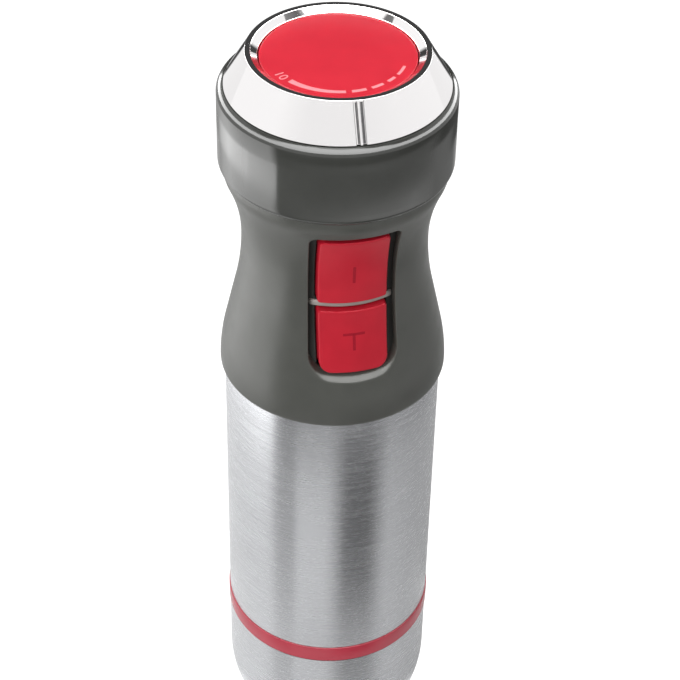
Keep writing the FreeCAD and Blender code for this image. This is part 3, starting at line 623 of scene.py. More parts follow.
def grip_radius(height, inset, s):
    """Radius of the grip's side at each height, moved inwards by inset along
    its normals. From below: a convex arc, a straight run, two hollow arcs that
    meet at the waist, and a convex shoulder."""
    waist = s.waist_height
    bend, crest = s.bulge_bend - inset, s.shoulder_bend - inset
    hollow, throat = s.flank_bend + inset, s.neck_bend + inset
    bulge_x = s.bulge_radius - s.bulge_bend
    flank_x = s.waist_radius + s.flank_bend
    neck_x = s.waist_radius + s.neck_bend
    both = s.neck_bend + s.shoulder_bend
    crest_x = neck_x - both * math.cos(s.neck_turn)
    crest_z = waist + both * math.sin(s.neck_turn)
    run_foot = (bulge_x + bend * math.cos(s.flank_turn), s.bulge_height + bend * math.sin(s.flank_turn))
    run_head = (flank_x - hollow * math.cos(s.flank_turn), waist - hollow * math.sin(s.flank_turn))

    def leg_of(radius, rise):
        return np.sqrt(np.clip(radius * radius - rise * rise, 0.0, None))

    return np.select(
        (
            height <= s.bulge_height,
            height <= run_foot[1],
            height <= run_head[1],
            height <= waist,
            height <= waist + throat * math.sin(s.neck_turn),
            height <= crest_z,
        ),
        (
            bulge_x + bend + 0.0 * height,
            bulge_x + leg_of(bend, height - s.bulge_height),
            run_foot[0] + (height - run_foot[1]) * (run_head[0] - run_foot[0]) / (run_head[1] - run_foot[1]),
            flank_x - leg_of(hollow, height - waist),
            neck_x - leg_of(throat, height - waist),
            crest_x + leg_of(crest, height - crest_z),
        ),
        crest_x + crest,
    )


def on_front(across, height, inset, s):
    """Points of the grip's side seen from the front: y = -sqrt(r^2 - x^2)."""
    radius = grip_radius(height, inset, s)
    return joined(across, -np.sqrt(radius ** 2 - across ** 2), height)


def pocket_ruling(share):
    """Points of the pocket's wall. Each ruling runs from a deep outline at
    share 0 to a wide one at share 1, where the lower lip is a long bevel."""
    deep = MM * outline(12.0, 326.7, 368.9, 4.0, 2.0, POCKET_CELLS)
    wide = MM * outline(14.2, 318.2, 370.6, 7.0, 3.0, POCKET_CELLS)
    deep_y, wide_y = -20.0 * MM, -36.0 * MM
    flat = deep + share[:, None] * (wide - deep)
    return joined(flat[:, 0], deep_y + share * (wide_y - deep_y), flat[:, 1])


def pocket_share(inset, s):
    """Where each ruling meets the grip's side, by halving the interval."""
    corner, level, upright = POCKET_CELLS
    near = np.zeros(2 * (2 * corner + level + upright) + 1)
    far = near + 1.0
    halvings = 30
    for _ in range(halvings):
        middle = (near + far) / 2.0
        point = pocket_ruling(middle)
        outside = np.hypot(point[:, 0], point[:, 1]) > grip_radius(point[:, 2], inset, s)
        far = np.where(outside, middle, far)
        near = np.where(outside, near, middle)
    return near


def grip_grids(s):
    """Closed shell of the grip. Its outer and inner sides each have the pocket
    as a window, joined by the pocket's ruled wall. The lip between them is a
    quadratic curve, rounded at the sides and a broad bevel along the foot."""
    half_turn, columns, outer_steps, inner_steps, above_steps = 0.62, 72, 8, 3, 3
    # How much further the lip reaches in along the foot, and how flat it is there.
    foot_reach, foot_flat = 2.8, 0.7
    corner, level, upright = POCKET_CELLS
    turns = stepped((-math.pi, -half_turn, half_turn, math.pi), (columns, corner + level, columns))
    across = (columns, columns + corner + level)
    block = (313.3 * MM, 374.7 * MM)
    rounding, inner_foot = s.foot + s.foot_edge, high("motor_sleeve").z
    outer_rows = stepped((rounding, *block, s.top), (outer_steps, corner + upright, above_steps))
    inner_rows = stepped((inner_foot, *block, s.top), (inner_steps, corner + upright, above_steps))

    share = pocket_share(0.0, s)
    rim = pocket_ruling(share)
    arc_place = unrolled(rim)
    radius = grip_radius(rim[:, 2], 0.0, s)
    track = joined(arc_place[:-1, 0] * radius[:-1], arc_place[:-1, 1])
    along = np.roll(track, -1, axis=0) - np.roll(track, 1, axis=0)
    along /= np.linalg.norm(along, axis=1, keepdims=True)
    outward = joined(along[:, 1] / radius[:-1], -along[:, 0])
    outward = np.concatenate((outward, outward[:1]))
    downward = np.clip(-outward[:, 1:], 0.0, 1.0) ** 2
    edge = arc_place + outward * s.pocket_lip
    start = around(grip_radius(edge[:, 1], 0.0, s), edge[:, 1], edge[:, 0])
    ruling = np.linalg.norm(pocket_ruling(share * 0.0 + 1.0) - pocket_ruling(share * 0.0), axis=1)
    end_share = share - s.pocket_lip * (1.0 + foot_reach * downward[:, 0]) / ruling
    end = pocket_ruling(end_share)
    bend = (start + end) / 2.0 + (1.0 - foot_flat * downward) * (rim - (start + end) / 2.0)
    mix = np.linspace(0.0, 1.0, 9)[:, None, None]
    lip = (1.0 - mix) ** 2 * start + 2.0 * mix * (1.0 - mix) * bend + mix ** 2 * end

    inner_share = pocket_share(s.wall, s)
    fall = np.linspace(0.0, 1.0, 8)[:, None]
    wall = np.stack([pocket_ruling(row) for row in end_share + fall * (inner_share - end_share)])

    def side_at(inset):
        return lambda height: grip_radius(np.array(height), inset, s)

    outer = windowed(
        side_at(0.0), turns, across, outer_rows, (outer_steps, outer_steps + corner + upright), edge, 12
    )
    inner = windowed(
        side_at(s.wall), turns, across, inner_rows, (inner_steps, inner_steps + corner + upright),
        unrolled(wall[-1]), 8,
    )
    bore = high("motor_sleeve").x + 0.02 * MM
    foot = np.concatenate((
        arc((side_at(0.0)(rounding) - s.foot_edge, rounding), s.foot_edge, 0.0, -math.pi / 2.0, 11),
        [[bore, s.foot], [bore, inner_foot], [side_at(s.wall)(inner_foot), inner_foot]],
    ))
    top = np.array([[side_at(inset)(s.top), s.top] for inset in (0.0, s.wall)])
    return outer + inner + [lip, wall, swept(foot, turns), swept(top, turns)]


# --- buttons ------------------------------------------------------------------
KEY_CELLS = (12, 20, 20)
PLATE_BACK = 4.4 * MM


def key_grid(half, foot, head, corners, inset, back, rounding, s):
    """Closed cap that follows the grip's side: nested outlines from the middle
    of its face, a rounded edge, sides that run straight in, and its back."""
    middle, least = np.array((0.0, (foot + head) / 2.0)), 0.08 * MM

    def ring(shrink, depth, scale=1.0):
        foot_corner, head_corner = (max(corner - shrink, least) for corner in corners)
        flat = outline(half - shrink, foot + shrink, head - shrink, foot_corner, head_corner, KEY_CELLS)
        flat = middle + scale * (flat - middle)
        return on_front(flat[:, 0], flat[:, 1], depth, s)

    rows = [ring(rounding, inset, scale) for scale in np.linspace(0.0, 1.0, 14)]
    bends = np.linspace(0.0, math.pi / 2.0, 7)[1:]
    rows += [ring(rounding * (1 - math.sin(bend)), inset + rounding * (1 - math.cos(bend))) for bend in bends]
    rows += [ring(0.0, back, scale) for scale in (1.0, 0.6, 0.0)]
    return np.array(rows)


def frame_half(foot, head, corners, window, s):
    """Closed plate round one window with an eased edge: outer outline, window,
    and both again at the back of the plate."""
    front, back, ease, corner = 2.62 * MM, PLATE_BACK, 0.25 * MM, 1.2 * MM
    half, low_edge, high_edge = window
    outer = outline(14.8 * MM, foot, head, corners[0], corners[1], KEY_CELLS)
    inner = outline(half, low_edge, high_edge, corner, corner, KEY_CELLS)
    soft = outline(half + ease, low_edge - ease, high_edge + ease, corner + ease, corner + ease, KEY_CELLS)
    rows = [on_front(flat[:, 0], flat[:, 1], front, s) for flat in (outer, (outer + soft) / 2.0, soft)]
    rows.append(on_front(inner[:, 0], inner[:, 1], front + ease, s))
    rows += [on_front(flat[:, 0], flat[:, 1], back, s) for flat in (inner, outer)]
    rows.append(rows[0])
    return np.array(rows)


# --- leg ----------------------------------------------------------------------
def leg_outline(inset, s):
    """Side of the leg from its top to the end of its tube, moved inwards: a
    straight run, a convex arc, a hollow one and the straight tube."""
    side, bend, tube = s.sleeve_radius - inset, s.shoulder_bend - inset, s.tube_radius - inset
    turn, cos, sin = s.shoulder_turn, math.cos(s.shoulder_turn), math.sin(s.shoulder_turn)
    centre = side - bend
    meet = (centre + bend * cos, s.shoulder - bend * sin)
    hollow_r = (meet[0] - tube) / (1.0 - cos)
    hollow = (tube + hollow_r, meet[1] - hollow_r * sin)
    return np.concatenate((
        joined(side, stepped((s.leg_top, s.leg_top - 0.5 * MM, s.shoulder), (1, 5))[:-1]),
        arc((centre, s.shoulder), bend, 0.0, -turn, 22),
        arc(hollow, hollow_r, math.pi - turn, math.pi, 22)[1:],
        [[tube, s.tube_foot]],
    ))


def bell_radius(height, inset, s):
    """Radius of the bell at each height, moved inwards: a hollow arc out of the
    tube, a convex arc, and a straight side down to the rim."""
    hollow_r, hollow, side = s.bell_bend + inset, s.tube_radius + s.bell_bend, s.bell_radius - inset
    cos, sin = math.cos(s.bell_turn), math.sin(s.bell_turn)
    meet = (hollow - hollow_r * cos, s.tube_foot - hollow_r * sin)
    bend = (side - meet[0]) / (1.0 - cos)
    centre = (side - bend, meet[1] - bend * sin)
    hollow_part = hollow - np.sqrt(np.clip(hollow_r ** 2 - (s.tube_foot - height) ** 2, 0.0, None))
    bend_part = centre[0] + np.sqrt(np.clip(bend ** 2 - (height - centre[1]) ** 2, 0.0, None))
    return np.select((height >= meet[1], height >= centre[1]), (hollow_part, bend_part), side)


def bell_grids(s):
    """Closed shell of the bell, a quarter at a time. Rows near the rim follow
    the arches, where the rim's height is sqrt(a^2 - w^2) less the arch's drop,
    and a slot is a window in the middle of each quarter."""
    cells = (8, 12, 0)
    half_turn = 0.32
    widest = math.acos(s.arch_drop / s.arch_radius)
    sweep = np.linspace(0.0, widest, 14)
    lift = np.concatenate((s.arch_radius * np.cos(sweep) - s.arch_drop, np.zeros(6)))
    slot = MM * outline(7.2, 24.8, 29.2, 2.2, 2.2, cells)
    heights = stepped((20.0 * MM, 22.6 * MM, 31.6 * MM, s.tube_foot), (2, cells[0], 21))
    grids = []
    for quarter in range(4):
        facing = math.pi / 4.0 + quarter * math.pi / 2.0
        shells = []
        for inset in (0.0, s.bell_wall):
            side = s.bell_radius - inset
            first = np.arcsin(s.arch_radius * np.sin(sweep) / side)
            run = np.linspace(first[-1], math.pi / 4.0 - half_turn, 7)[1:]
            left = np.concatenate((first, run)) - math.pi / 4.0
            block = np.linspace(-half_turn, half_turn, cells[0] + cells[1] + 1)[1:-1]
            turns = facing + np.concatenate((left, block, -left[::-1]))
            across = (len(left) - 1, len(left) + len(block))
            slot_turn = facing + np.arcsin(slot[:, 0] / bell_radius(slot[:, 1], inset, s))
            edge = joined(slot_turn, slot[:, 1])
            upper = windowed(
                lambda h, inset=inset: bell_radius(h, inset, s), turns, across, heights, (2, 2 + cells[0]), edge, 6
            )
            rim = np.concatenate((lift, np.zeros(len(block)), lift[::-1]))
            rows = rim + np.linspace(0.0, 1.0, 11)[:, None] * (heights[0] - rim)
            lower = around(bell_radius(rows, inset, s), rows, turns)
            top = around(bell_radius(heights[-1:], inset, s), heights[-1:], turns)
            shells.append((upper, lower, top))
        outer, inner = shells
        grids += outer[0] + inner[0] + [outer[1], inner[1]]
        grids.append(np.stack((outer[1][0], inner[1][0])))
        grids.append(np.stack((outer[0][-1][-1], inner[0][-1][-1])))
        grids.append(np.stack((outer[2], inner[2])))
    return grids


# --- operators ----------------------------------------------------------------
class HANDBLENDER_OT_inner(bpy.types.Operator):
    """Gives every CAD part the finish of its own material"""

    bl_idname = "hand_blender.inner"
    bl_label = "Finish inner parts"

    def execute(self, context):
        made = inner_finishes()
        groups = {
            "polished_steel": ("blade", "blade_screw", "blade_guard", "leg_shell", "motor_sleeve", "speed_dial"),
            "spring_steel": ("power_spring", "turbo_spring", "deck_screws"),
            "shaft_steel": ("motor_shaft", "drive_spindle", "lower_bearing", "upper_bearing"),
            "lamination": ("stator_core", "rotor_core"),
            "copper": ("field_coils", "rotor_windings", "commutator"),
            "brass": ("brush_holders",),
            "bronze": ("lower_bush", "upper_bush"),
            "carbon": ("carbon_brushes",),
            "black_plastic": (
                "leg_socket", "lower_bracket", "upper_bracket", "motor_cradle", "dial_deck", "disc_carrier",
                "leg_neck", "bush_housing", "cord_inlet", "power_switch", "turbo_switch", "cooling_fan",
                "head_collar",
            ),
            "board_green": ("circuit_board",),
            "seal_rubber": ("lip_seal",),
            "white_plastic": ("potentiometer_pinion", "potentiometer_body", "upper_coupling", "lower_coupling"),
            "soft_grey": (
                "grip_shell", "button_frame", "power_button", "turbo_button", "scale_disc", "joint_ring",
            ),
        }
        for slot, names in groups.items():
            for name in names:
                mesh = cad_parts[name].data
                mesh.materials.clear()
                mesh.materials.append(made[slot])
        return {"FINISHED"}


class HANDBLENDER_OT_grip(bpy.types.Operator):
    """Adds the soft grip with its button pocket"""

    bl_idname = "hand_blender.grip"
    bl_label = "Add grip"

    def execute(self, context):
        scene = context.scene
        add_piece(
            "soft_grip", grip_grids(scene.blender_grip), soft_touch_paint(scene.blender_colours),
            "motor_unit", ("grip_shell",),
        )
        return {"FINISHED"}


class HANDBLENDER_OT_buttons(bpy.types.Operator):
    """Adds the two buttons, their marks, and the plate and bar behind them"""

    bl_idname = "hand_blender.buttons"
    bl_label = "Add buttons"

    def execute(self, context):
        scene = context.scene
        grip, keys, colours = scene.blender_grip, scene.blender_buttons, scene.blender_colours
        red, dark = satin_abs(colours), sunk_mark(colours)
        # The plate's dark grey is partly painted shade of the pocket.
        grey = bpy.data.materials["Textured grey ABS with painted shade"]
        half, gap, edge, key_back = keys.half_width, keys.gap, keys.rounding, 6.0 * MM
        stem = MM * rounded([
            (0.0, -23.0, 0), (2.0, -23.0, 0), (2.0, -17.6, 0.3), (0.8, -17.6, 0), (0.8, -15.0, 0.2), (0.0, -15.0, 0),
        ])
        line, power_inset, turbo_inset = 0.85, 0.5 * MM, 0.3 * MM

        def cap(foot, head, corners, inset):
            """Face, flange and stem of one button."""
            face = key_grid(half, foot, head, corners, inset, key_back, edge, grip)
            flange = key_grid(
                11.4 * MM, foot + 1.0 * MM, head - 1.0 * MM, (MM, MM), 4.8 * MM, key_back, 0.2 * MM, grip
            )
            return [face, flange, spun_along_y(stem, (foot + head) / 2.0, 32)]

        def stroke(across, foot, head, inset):
            """One stroke of a mark, in mm, hardly proud of the face."""
            tiny, corner = 0.02 * MM, 0.15 * MM
            return key_grid(
                across * MM / 2.0, foot * MM, head * MM, (corner, corner), inset - tiny, inset + 0.4 * MM, tiny, grip
            )

        power = cap(keys.power_low, keys.power_high, (0.8 * MM, 1.8 * MM), power_inset)
        turbo = cap(keys.turbo_low, keys.turbo_high, (3.2 * MM, 1.0 * MM), turbo_inset)
        add_piece("power_cap", power, red, "power_key", ("power_button",))
        add_piece("turbo_cap", turbo, red, "turbo_key", ("turbo_button",))
        add_piece("power_mark", [stroke(line, 352.0, 357.9, power_inset)], dark, "power_key")
        marks = [stroke(line, 329.9, 335.2, turbo_inset), stroke(6.4, 334.6, 335.4, turbo_inset)]
        add_piece("turbo_mark", marks, dark, "turbo_key")

        bar_low, bar_high = keys.turbo_high + gap, keys.power_low - gap
        middle = (bar_low + bar_high) / 2.0
        upper = frame_half(
            middle, 374.2 * MM, (0.1 * MM, 3.0 * MM), (half + gap, bar_high, keys.power_high + gap), grip
        )
        lower = frame_half(318.0 * MM, middle, (4.0 * MM, 0.1 * MM), (half + gap, keys.turbo_low - gap, bar_low), grip)
        bar = key_grid(12.0 * MM, bar_low, bar_high, (0.6 * MM, 0.6 * MM), 1.9 * MM, PLATE_BACK, 0.7 * MM, grip)
        add_piece("button_plate", [upper, lower], grey, "motor_unit", ("button_frame",))
        # The bar's pale colour is partly a painted highlight.
        add_piece("button_bar", [bar], bar_abs_painted_highlight(), "motor_unit")
        return {"FINISHED"}


class HANDBLENDER_OT_collar(bpy.types.Operator):
    """Adds the glossy collar and the cord gland in its back"""

    bl_idname = "hand_blender.collar"
    bl_label = "Add collar"

    def execute(self, context):
        s, colours = context.scene.blender_head, context.scene.blender_colours
        cells, half_turn, columns = (12, 0, 0), 0.24, 96
        hole_r = s.inlet_radius + 0.06 * MM
        hole = outline(hole_r, s.inlet_height - hole_r, s.inlet_height + hole_r, hole_r, hole_r, cells)
        turns = math.pi + stepped((-math.pi, -half_turn, half_turn, math.pi), (columns, cells[0], columns))
        outer_r, inner_r, mouth_r = s.collar_radius, 31.0 * MM, 28.8 * MM
        foot_bend, head_bend, deck = np.array((1.19, 1.6)) * MM, 2.0 * MM, s.collar_high - 2.5 * MM
        shells = []
        for radius, foot, head in (
            (outer_r, s.collar_low + foot_bend[1], s.collar_high - head_bend),
            (inner_r, s.collar_low, deck),
        ):
            heights = stepped((foot, 380.0 * MM, 393.6 * MM, head), (1, cells[0], 1))
            edge = joined(math.pi + np.arcsin(hole[:, 0] / radius), hole[:, 1])
            shells.append(windowed(
                lambda h, radius=radius: radius + 0.0 * h, turns, (columns, columns + cells[0]), heights,
                (1, 1 + cells[0]), edge, 5,
            ))
        outer, inner = shells
        round_foot = arc((outer_r, s.collar_low) + foot_bend * (-1.0, 1.0), foot_bend, 0.0, -math.pi / 2.0, 9)
        # The head's edge is a flattened quarter: cosine and sine to the power 1.35.
        swing = np.linspace(0.0, math.pi / 2.0, 17)[:, None]
        round_head = np.hstack((np.cos(swing), np.sin(swing))).clip(0.0) ** 1.35 * head_bend
        round_head += (outer_r - head_bend, s.collar_high - head_bend)
        foot_rows = np.concatenate((round_foot, [[inner_r, s.collar_low]]))
        head_rows = np.concatenate((round_head, [[mouth_r, s.collar_high], [mouth_r, deck], [inner_r, deck]]))
        tunnel = np.stack((outer[-1][-1], inner[-1][-1]))
        grids = outer + inner + [tunnel, swept(foot_rows, turns), swept(head_rows, turns)]
        add_piece("gloss_collar", grids, polished_abs(colours), "motor_unit", ("head_collar",))

        gland = rounded([
            (3.4, 22.0, 0.1), (4.75, 22.0, 0.1), (4.75, 33.05, 0.35), (3.4, 33.05, 0.6),
        ], 7) * MM
        add_piece(
            "cord_gland", [spun_along_y(gland, s.inlet_height, 72)], bpy.data.materials["Nitrile rubber"],
            "motor_unit", ("cord_inlet",),
        )
        return {"FINISHED"}


class HANDBLENDER_OT_dial(bpy.types.Operator):
    """Adds the plated speed dial with its pointer"""

    bl_idname = "hand_blender.dial"
    bl_label = "Add dial"

    def execute(self, context):
        s, colours = context.scene.blender_head, context.scene.blender_colours
        bevel_foot = np.array((s.dial_radius, s.dial_low))
        bevel_head = np.array((25.54, 411.64)) * MM
        share = stepped((0.0, 0.9, 0.985, 1.0), (23, 5, 1))
        bevel = bevel_foot + share[:, None] * (bevel_head - bevel_foot)
        rim = arc((25.43 * MM, 411.64 * MM), 0.12 * MM, math.radians(22.0), math.radians(82.0), 6)
        crest = arc((24.85 * MM, 407.77 * MM), 4.03 * MM, math.radians(82.0), math.radians(102.0), 9)
        rim = np.concatenate((rim, crest[1:]))
        inside = np.array([
            (23.9, 411.56), (22.14, 410.38), (22.06, 410.28), (22.03, 410.1), (22.0, 407.2),
            (24.0, 407.2), (24.0, 393.0), (28.5, 393.0), (28.5, 394.6), (30.4, 394.6),
            (30.4, 398.2), (28.5, 398.2), (28.5, 401.5), (31.2, 401.5),
        ]) * MM
        profile = np.concatenate((bevel, rim, inside, bevel[:1]))
        near = np.array((
            0.0, 0.2, 0.30, 0.35, 0.40, 0.45, 0.50, 0.7, 1.0, 1.25, 1.36, 1.42, 1.48, 1.54, 1.7, 1.9, 2.1
        )) * MM
        near = np.concatenate((-near[:0:-1], near))
        clear = math.radians(6.0)
        far = np.linspace(clear, FULL_TURN - clear, 184)
        beside = np.arcsin(near / profile[:, :1])
        turns = np.concatenate(
            (beside, np.broadcast_to(far, (len(profile), len(far))), beside[:, :1] + FULL_TURN), axis=1
        )

        # Two grooves for the pointer, side by side, that run out below the crest.
        depth, width = 0.5 * MM, np.abs(near)
        groove = eased(width, 0.30 * MM, 0.50 * MM) * (1.0 - eased(width, 1.30 * MM, 1.52 * MM))
        deep = np.concatenate((groove, np.zeros(len(far) + 1)))
        along = np.zeros(len(profile))
        along[:len(bevel)] = 1.0 - eased(share, 0.955, 0.985)
        along[-1] = along[0]
        radius = profile[:, :1] - depth * along[:, None] * deep
        grid = around(radius, profile[:, 1:], turns)
        add_piece("chrome_dial", [grid], chrome_plating(colours), "dial", ("speed_dial",), 40.0)

        def fill(start, end):
            """Closed strip of painted shade on the groove's floor, from start to end
            across it and along the bevel."""
            way = bevel_foot + np.array((0.012, 0.5, 0.94))[:, None] * (bevel_head - bevel_foot)
            ring = ((start, 0.49), (start, 0.40), (end, 0.40), (end, 0.49), (start, 0.49))
            rows = np.stack([
                around(way[:, 0] - deep * MM, way[:, 1], np.arcsin(side * MM / way[:, 0])) for side, deep in ring
            ])
            return capped(rows)

        # Painted shade of the groove: two dark strips, one either side of its rib.
        lines = fill(-0.95, -0.55) + fill(0.55, 1.2)
        add_piece("pointer_painted_shade_strips", lines, pointer_painted_shade(), "dial")
        return {"FINISHED"}


class HANDBLENDER_OT_disc(bpy.types.Operator):
    """Adds the red disc and the scale printed on it"""

    bl_idname = "hand_blender.disc"
    bl_label = "Add disc"

    def execute(self, context):
        s, colours = context.scene.blender_head, context.scene.blender_colours
        foot, top, edge = s.disc_low / MM, s.disc_high / MM, s.disc_radius / MM
        profile = rounded([(0.0, foot, 0), (edge, foot, 0.1), (edge, top, 0.33), (0.0, top, 0)], 8) * MM
        add_piece(
            "red_disc", [revolved(profile)], red_polycarbonate(colours), "motor_unit", ("scale_disc",)
        )
        ink = pad_ink(colours)
        skin = (s.disc_high - 0.02 * MM, s.disc_high + 0.03 * MM)

        def stroke(start, end, width_start, width_end):
            """Closed strip along an arc, narrowing from one end to the other."""
            count = max(3, int(abs(end - start) / 1.5))
            turns = np.radians(np.linspace(start, end, count))
            width = np.linspace(width_start, width_end, len(turns)) * MM / 2.0
            ring = ((-1, 0), (-1, 1), (1, 1), (1, 0), (-1, 0))
            rows = np.stack([around(s.print_radius + side * width, skin[level], turns) for side, level in ring])
            return capped(rows)

        dashes = ((-55.5, -5.5, 1.7, 1.2), (-0.5, 12.0, 1.15, 1.1), (17.0, 28.5, 1.05, 1.0),
                  (34.0, 42.5, 1.0, 0.95), (47.5, 62.0, 0.9, 0.8))
        grids = [grid for dash in dashes for grid in stroke(*dash)]
        add_piece("scale_dashes", grids, ink, "motor_unit")

        letters = bpy.data.curves.new("scale_number", "FONT")
        letters.body = "10"
        letters.size = 4.0 * MM
        letters.extrude = 0.02 * MM
        letters.align_x = letters.align_y = "CENTER"
        source = add_object("scale_number_text", letters)
        context.view_layer.update()
        mesh = bpy.data.meshes.new_from_object(source.evaluated_get(context.evaluated_depsgraph_get()))
        bpy.data.objects.remove(source)
        bpy.data.curves.remove(letters)
        mesh.name = "scale_number"
        flat = np.empty(len(mesh.vertices) * 3, dtype=np.float32)
        mesh.vertices.foreach_get("co", flat)
        flat = flat.reshape(-1, 3)
        turn = math.radians(-66.0) + flat[:, 0] / s.print_radius
        placed = around(s.print_radius + flat[:, 1], s.disc_high + 0.01 * MM + flat[:, 2], turn)
        mesh.vertices.foreach_set("co", placed.astype(np.float32).ravel())
        mesh.materials.clear()
        mesh.materials.append(ink)
        number = add_object("scale_number", mesh)
        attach(number, "motor_unit")
        return {"FINISHED"}


class HANDBLENDER_OT_sleeve(bpy.types.Operator):
    """Adds the brushed steel sleeve and the coloured band under it"""

    bl_idname = "hand_blender.sleeve"
    bl_label = "Add sleeve and band"

    def execute(self, context):
        s, colours = context.scene.blender_leg, context.scene.blender_colours
        side, wall, soft = s.sleeve_radius, s.wall, 0.2 * MM
        profile = rounded([
            (side - wall, s.sleeve_low, soft), (side, s.sleeve_low, soft),
            (side, s.sleeve_high, soft), (side - wall, s.sleeve_high, soft),
        ])
        add_piece(
            "steel_sleeve", [revolved(profile, 256)], brushed_steel(colours), "motor_unit",
            ("motor_sleeve",),
        )
        inner, soft = 27.4 * MM, 0.35 * MM
        profile = rounded([
            (inner, s.band_low, 0), (s.band_radius, s.band_low, soft),
            (s.band_radius, s.band_high, soft), (inner, s.band_high, 0),
        ])
        add_piece("red_band", [revolved(profile, 256)], gloss_red_abs(colours), "ring", ("joint_ring",))
        return {"FINISHED"}


class HANDBLENDER_OT_joint(bpy.types.Operator):
    """Adds the neck of the leg and the socket that it screws into"""

    bl_idname = "hand_blender.joint"
    bl_label = "Add screw joint"

    def execute(self, context):
        s = context.scene.blender_leg
        nylon = bpy.data.materials["Glass-filled nylon"]
        wide, top, foot = (s.sleeve_radius - s.wall) / MM - 0.05, s.leg_top / MM, s.sleeve_low / MM
        neck = 27.0
        profile = rounded([
            (6.5, 186.0, 0.3), (10.0, 186.0, 0.5), (10.0, 194.0, 0), (wide, 194.0, 0.2), (wide, top, 0.3),
            (neck, top, 0.3), (neck, 225.0, 0.8), (24.2, 225.0, 0.5), (24.2, 199.0, 0.5), (10.0, 199.0, 0),
            (10.0, 203.0, 0.5), (6.5, 203.0, 0.3),
        ])
        # More points up the neck's long side, for the thread.
        upright = np.abs(profile[:, 0] - neck) < 0.001
        steep = np.flatnonzero(upright[:-1] & upright[1:] & (np.abs(np.diff(profile[:, 1])) > 5.0))[0]
        climb = np.linspace(profile[steep, 1], profile[steep + 1, 1], 61)[1:-1]
        profile = np.insert(profile, steep + 1, joined(neck, climb), axis=0)
        radius, height = profile[:, :1], profile[:, 1:]
        # Four ribs that climb one turn in 40.2 mm, as far as the leg moves in one.
        turns = np.linspace(0.0, FULL_TURN, 289)
        phase = np.cos(4.0 * (turns + FULL_TURN * height / 40.2))
        threaded = (np.abs(radius - neck) < 0.001) & (height > 204.5) & (height < 222.5)
        grid = around(radius + 0.3 * eased(phase, 0.80, 0.90) * threaded, height, turns) * MM
        add_piece("screw_neck", [grid], nylon, "leg", ("leg_neck",))

        profile = rounded([
            (27.4, foot, 0.4), (wide, foot, 0.15), (wide, 230.0, 0.2), (5.0, 230.0, 0.3), (5.0, 227.5, 0.3),
            (27.4, 227.5, 0.4),
        ]) * MM
        add_piece("screw_socket", [revolved(profile)], nylon, "motor_unit", ("leg_socket",))
        return {"FINISHED"}


class HANDBLENDER_OT_leg(bpy.types.Operator):
    """Adds the drawn steel leg"""

    bl_idname = "hand_blender.leg"
    bl_label = "Add leg"

    def execute(self, context):
        s, colours = context.scene.blender_leg, context.scene.blender_colours
        outer, inner = leg_outline(0.0, s), leg_outline(s.wall, s)
        profile = np.concatenate((outer, inner[::-1], outer[:1]))
        add_piece(
            "steel_leg", [revolved(profile, 224)], satin_steel(colours), "leg", ("leg_shell",)
        )
        return {"FINISHED"}


class HANDBLENDER_OT_bell(bpy.types.Operator):
    """Adds the bell round the blade"""

    bl_idname = "hand_blender.bell"
    bl_label = "Add bell"

    def execute(self, context):
        s = context.scene.blender_leg
        steel = bpy.data.materials["Satin stainless steel"]
        add_piece("steel_bell", bell_grids(s), steel, "leg", ("blade_guard",))
        return {"FINISHED"}


class HANDBLENDER_OT_foot(bpy.types.Operator):
    """Adds the bush housing, its lip seal and the cap nut under the blade"""

    bl_idname = "hand_blender.foot"
    bl_label = "Add foot parts"

    def execute(self, context):
        nylon, rubber = bpy.data.materials["Glass-filled nylon"], bpy.data.materials["Nitrile rubber"]
        steel = bpy.data.materials["Polished stainless steel"]
        profile = rounded([
            (7.6, 26.5, 0.3), (10.0, 26.5, 0.7), (10.0, 40.0, 1.0), (15.4, 46.5, 0.6), (15.4, 60.0, 0.3),
            (6.5, 60.0, 0.3), (6.5, 32.0, 0), (7.6, 32.0, 0),
        ]) * MM
        add_piece("bush_plug", [revolved(profile, 128)], nylon, "leg", ("bush_housing",))
        profile = rounded([
            (4.05, 27.4, 0.1), (4.9, 26.9, 0.15), (7.6, 26.9, 0.1), (7.6, 32.0, 0), (5.6, 32.0, 0), (5.6, 29.0, 0.2),
            (4.05, 28.4, 0.1),
        ]) * MM
        add_piece("shaft_seal", [revolved(profile, 96)], rubber, "leg", ("lip_seal",))
        dome = np.concatenate((arc((0.0, 14.6), (5.2, 2.2), -math.pi / 2.0, 0.0, 14), [[5.2, 16.5], [0.0, 16.5]]))
        add_piece("cap_nut", [revolved(dome * MM, 96)], steel, "spindle", ("blade_screw",))
        return {"FINISHED"}


class HANDBLENDER_OT_studio(bpy.types.Operator):
    """Adds the camera, the floor, the lamps and the cloths that metal and gloss mirror"""

    bl_idname = "hand_blender.studio"
    bl_label = "Add studio"

    def execute(self, context):
        scene = context.scene
        add_camera(scene)
        add_floor()
        add_world(scene)
        add_cloths(scene)
        add_lamps()
        scene.view_settings.view_transform = "Standard"
        return {"FINISHED"}


def turned(first, second, angle):
    """Two directions at right angles, turned from the first to the second."""
    cos, sin = math.cos(angle), math.sin(angle)
    return first * cos + second * sin, second * cos - first * sin


def stand(thing, right, up, back, place):
    """Puts a camera or a lamp in its place, facing away from back."""
    matrix = np.eye(4)
    matrix[:3] = joined(right, up, back, place)
    thing.matrix_world = Matrix(matrix.tolist())


def add_camera(scene):
    """Camera at its distance and height, turned by yaw, pitch and roll."""
    s = scene.blender_studio
    data = bpy.data.cameras.new("camera")
    data.sensor_width = 36.0
    data.lens = s.lens
    data.clip_start, data.clip_end = 0.02, 20.0
    ahead = np.array((math.sin(s.turn), math.cos(s.turn), 0.0))
    right = np.array((math.cos(s.turn), -math.sin(s.turn), 0.0))
    up = np.array((0.0, 0.0, 1.0))
    place = -ahead * s.distance + up * s.height
    ahead, right = turned(ahead, right, s.yaw)
    up, ahead = turned(up, ahead, s.pitch)
    right, up = turned(right, up, s.roll)
    scene.camera = add_object("camera", data)
    stand(scene.camera, right, up, -ahead, place)


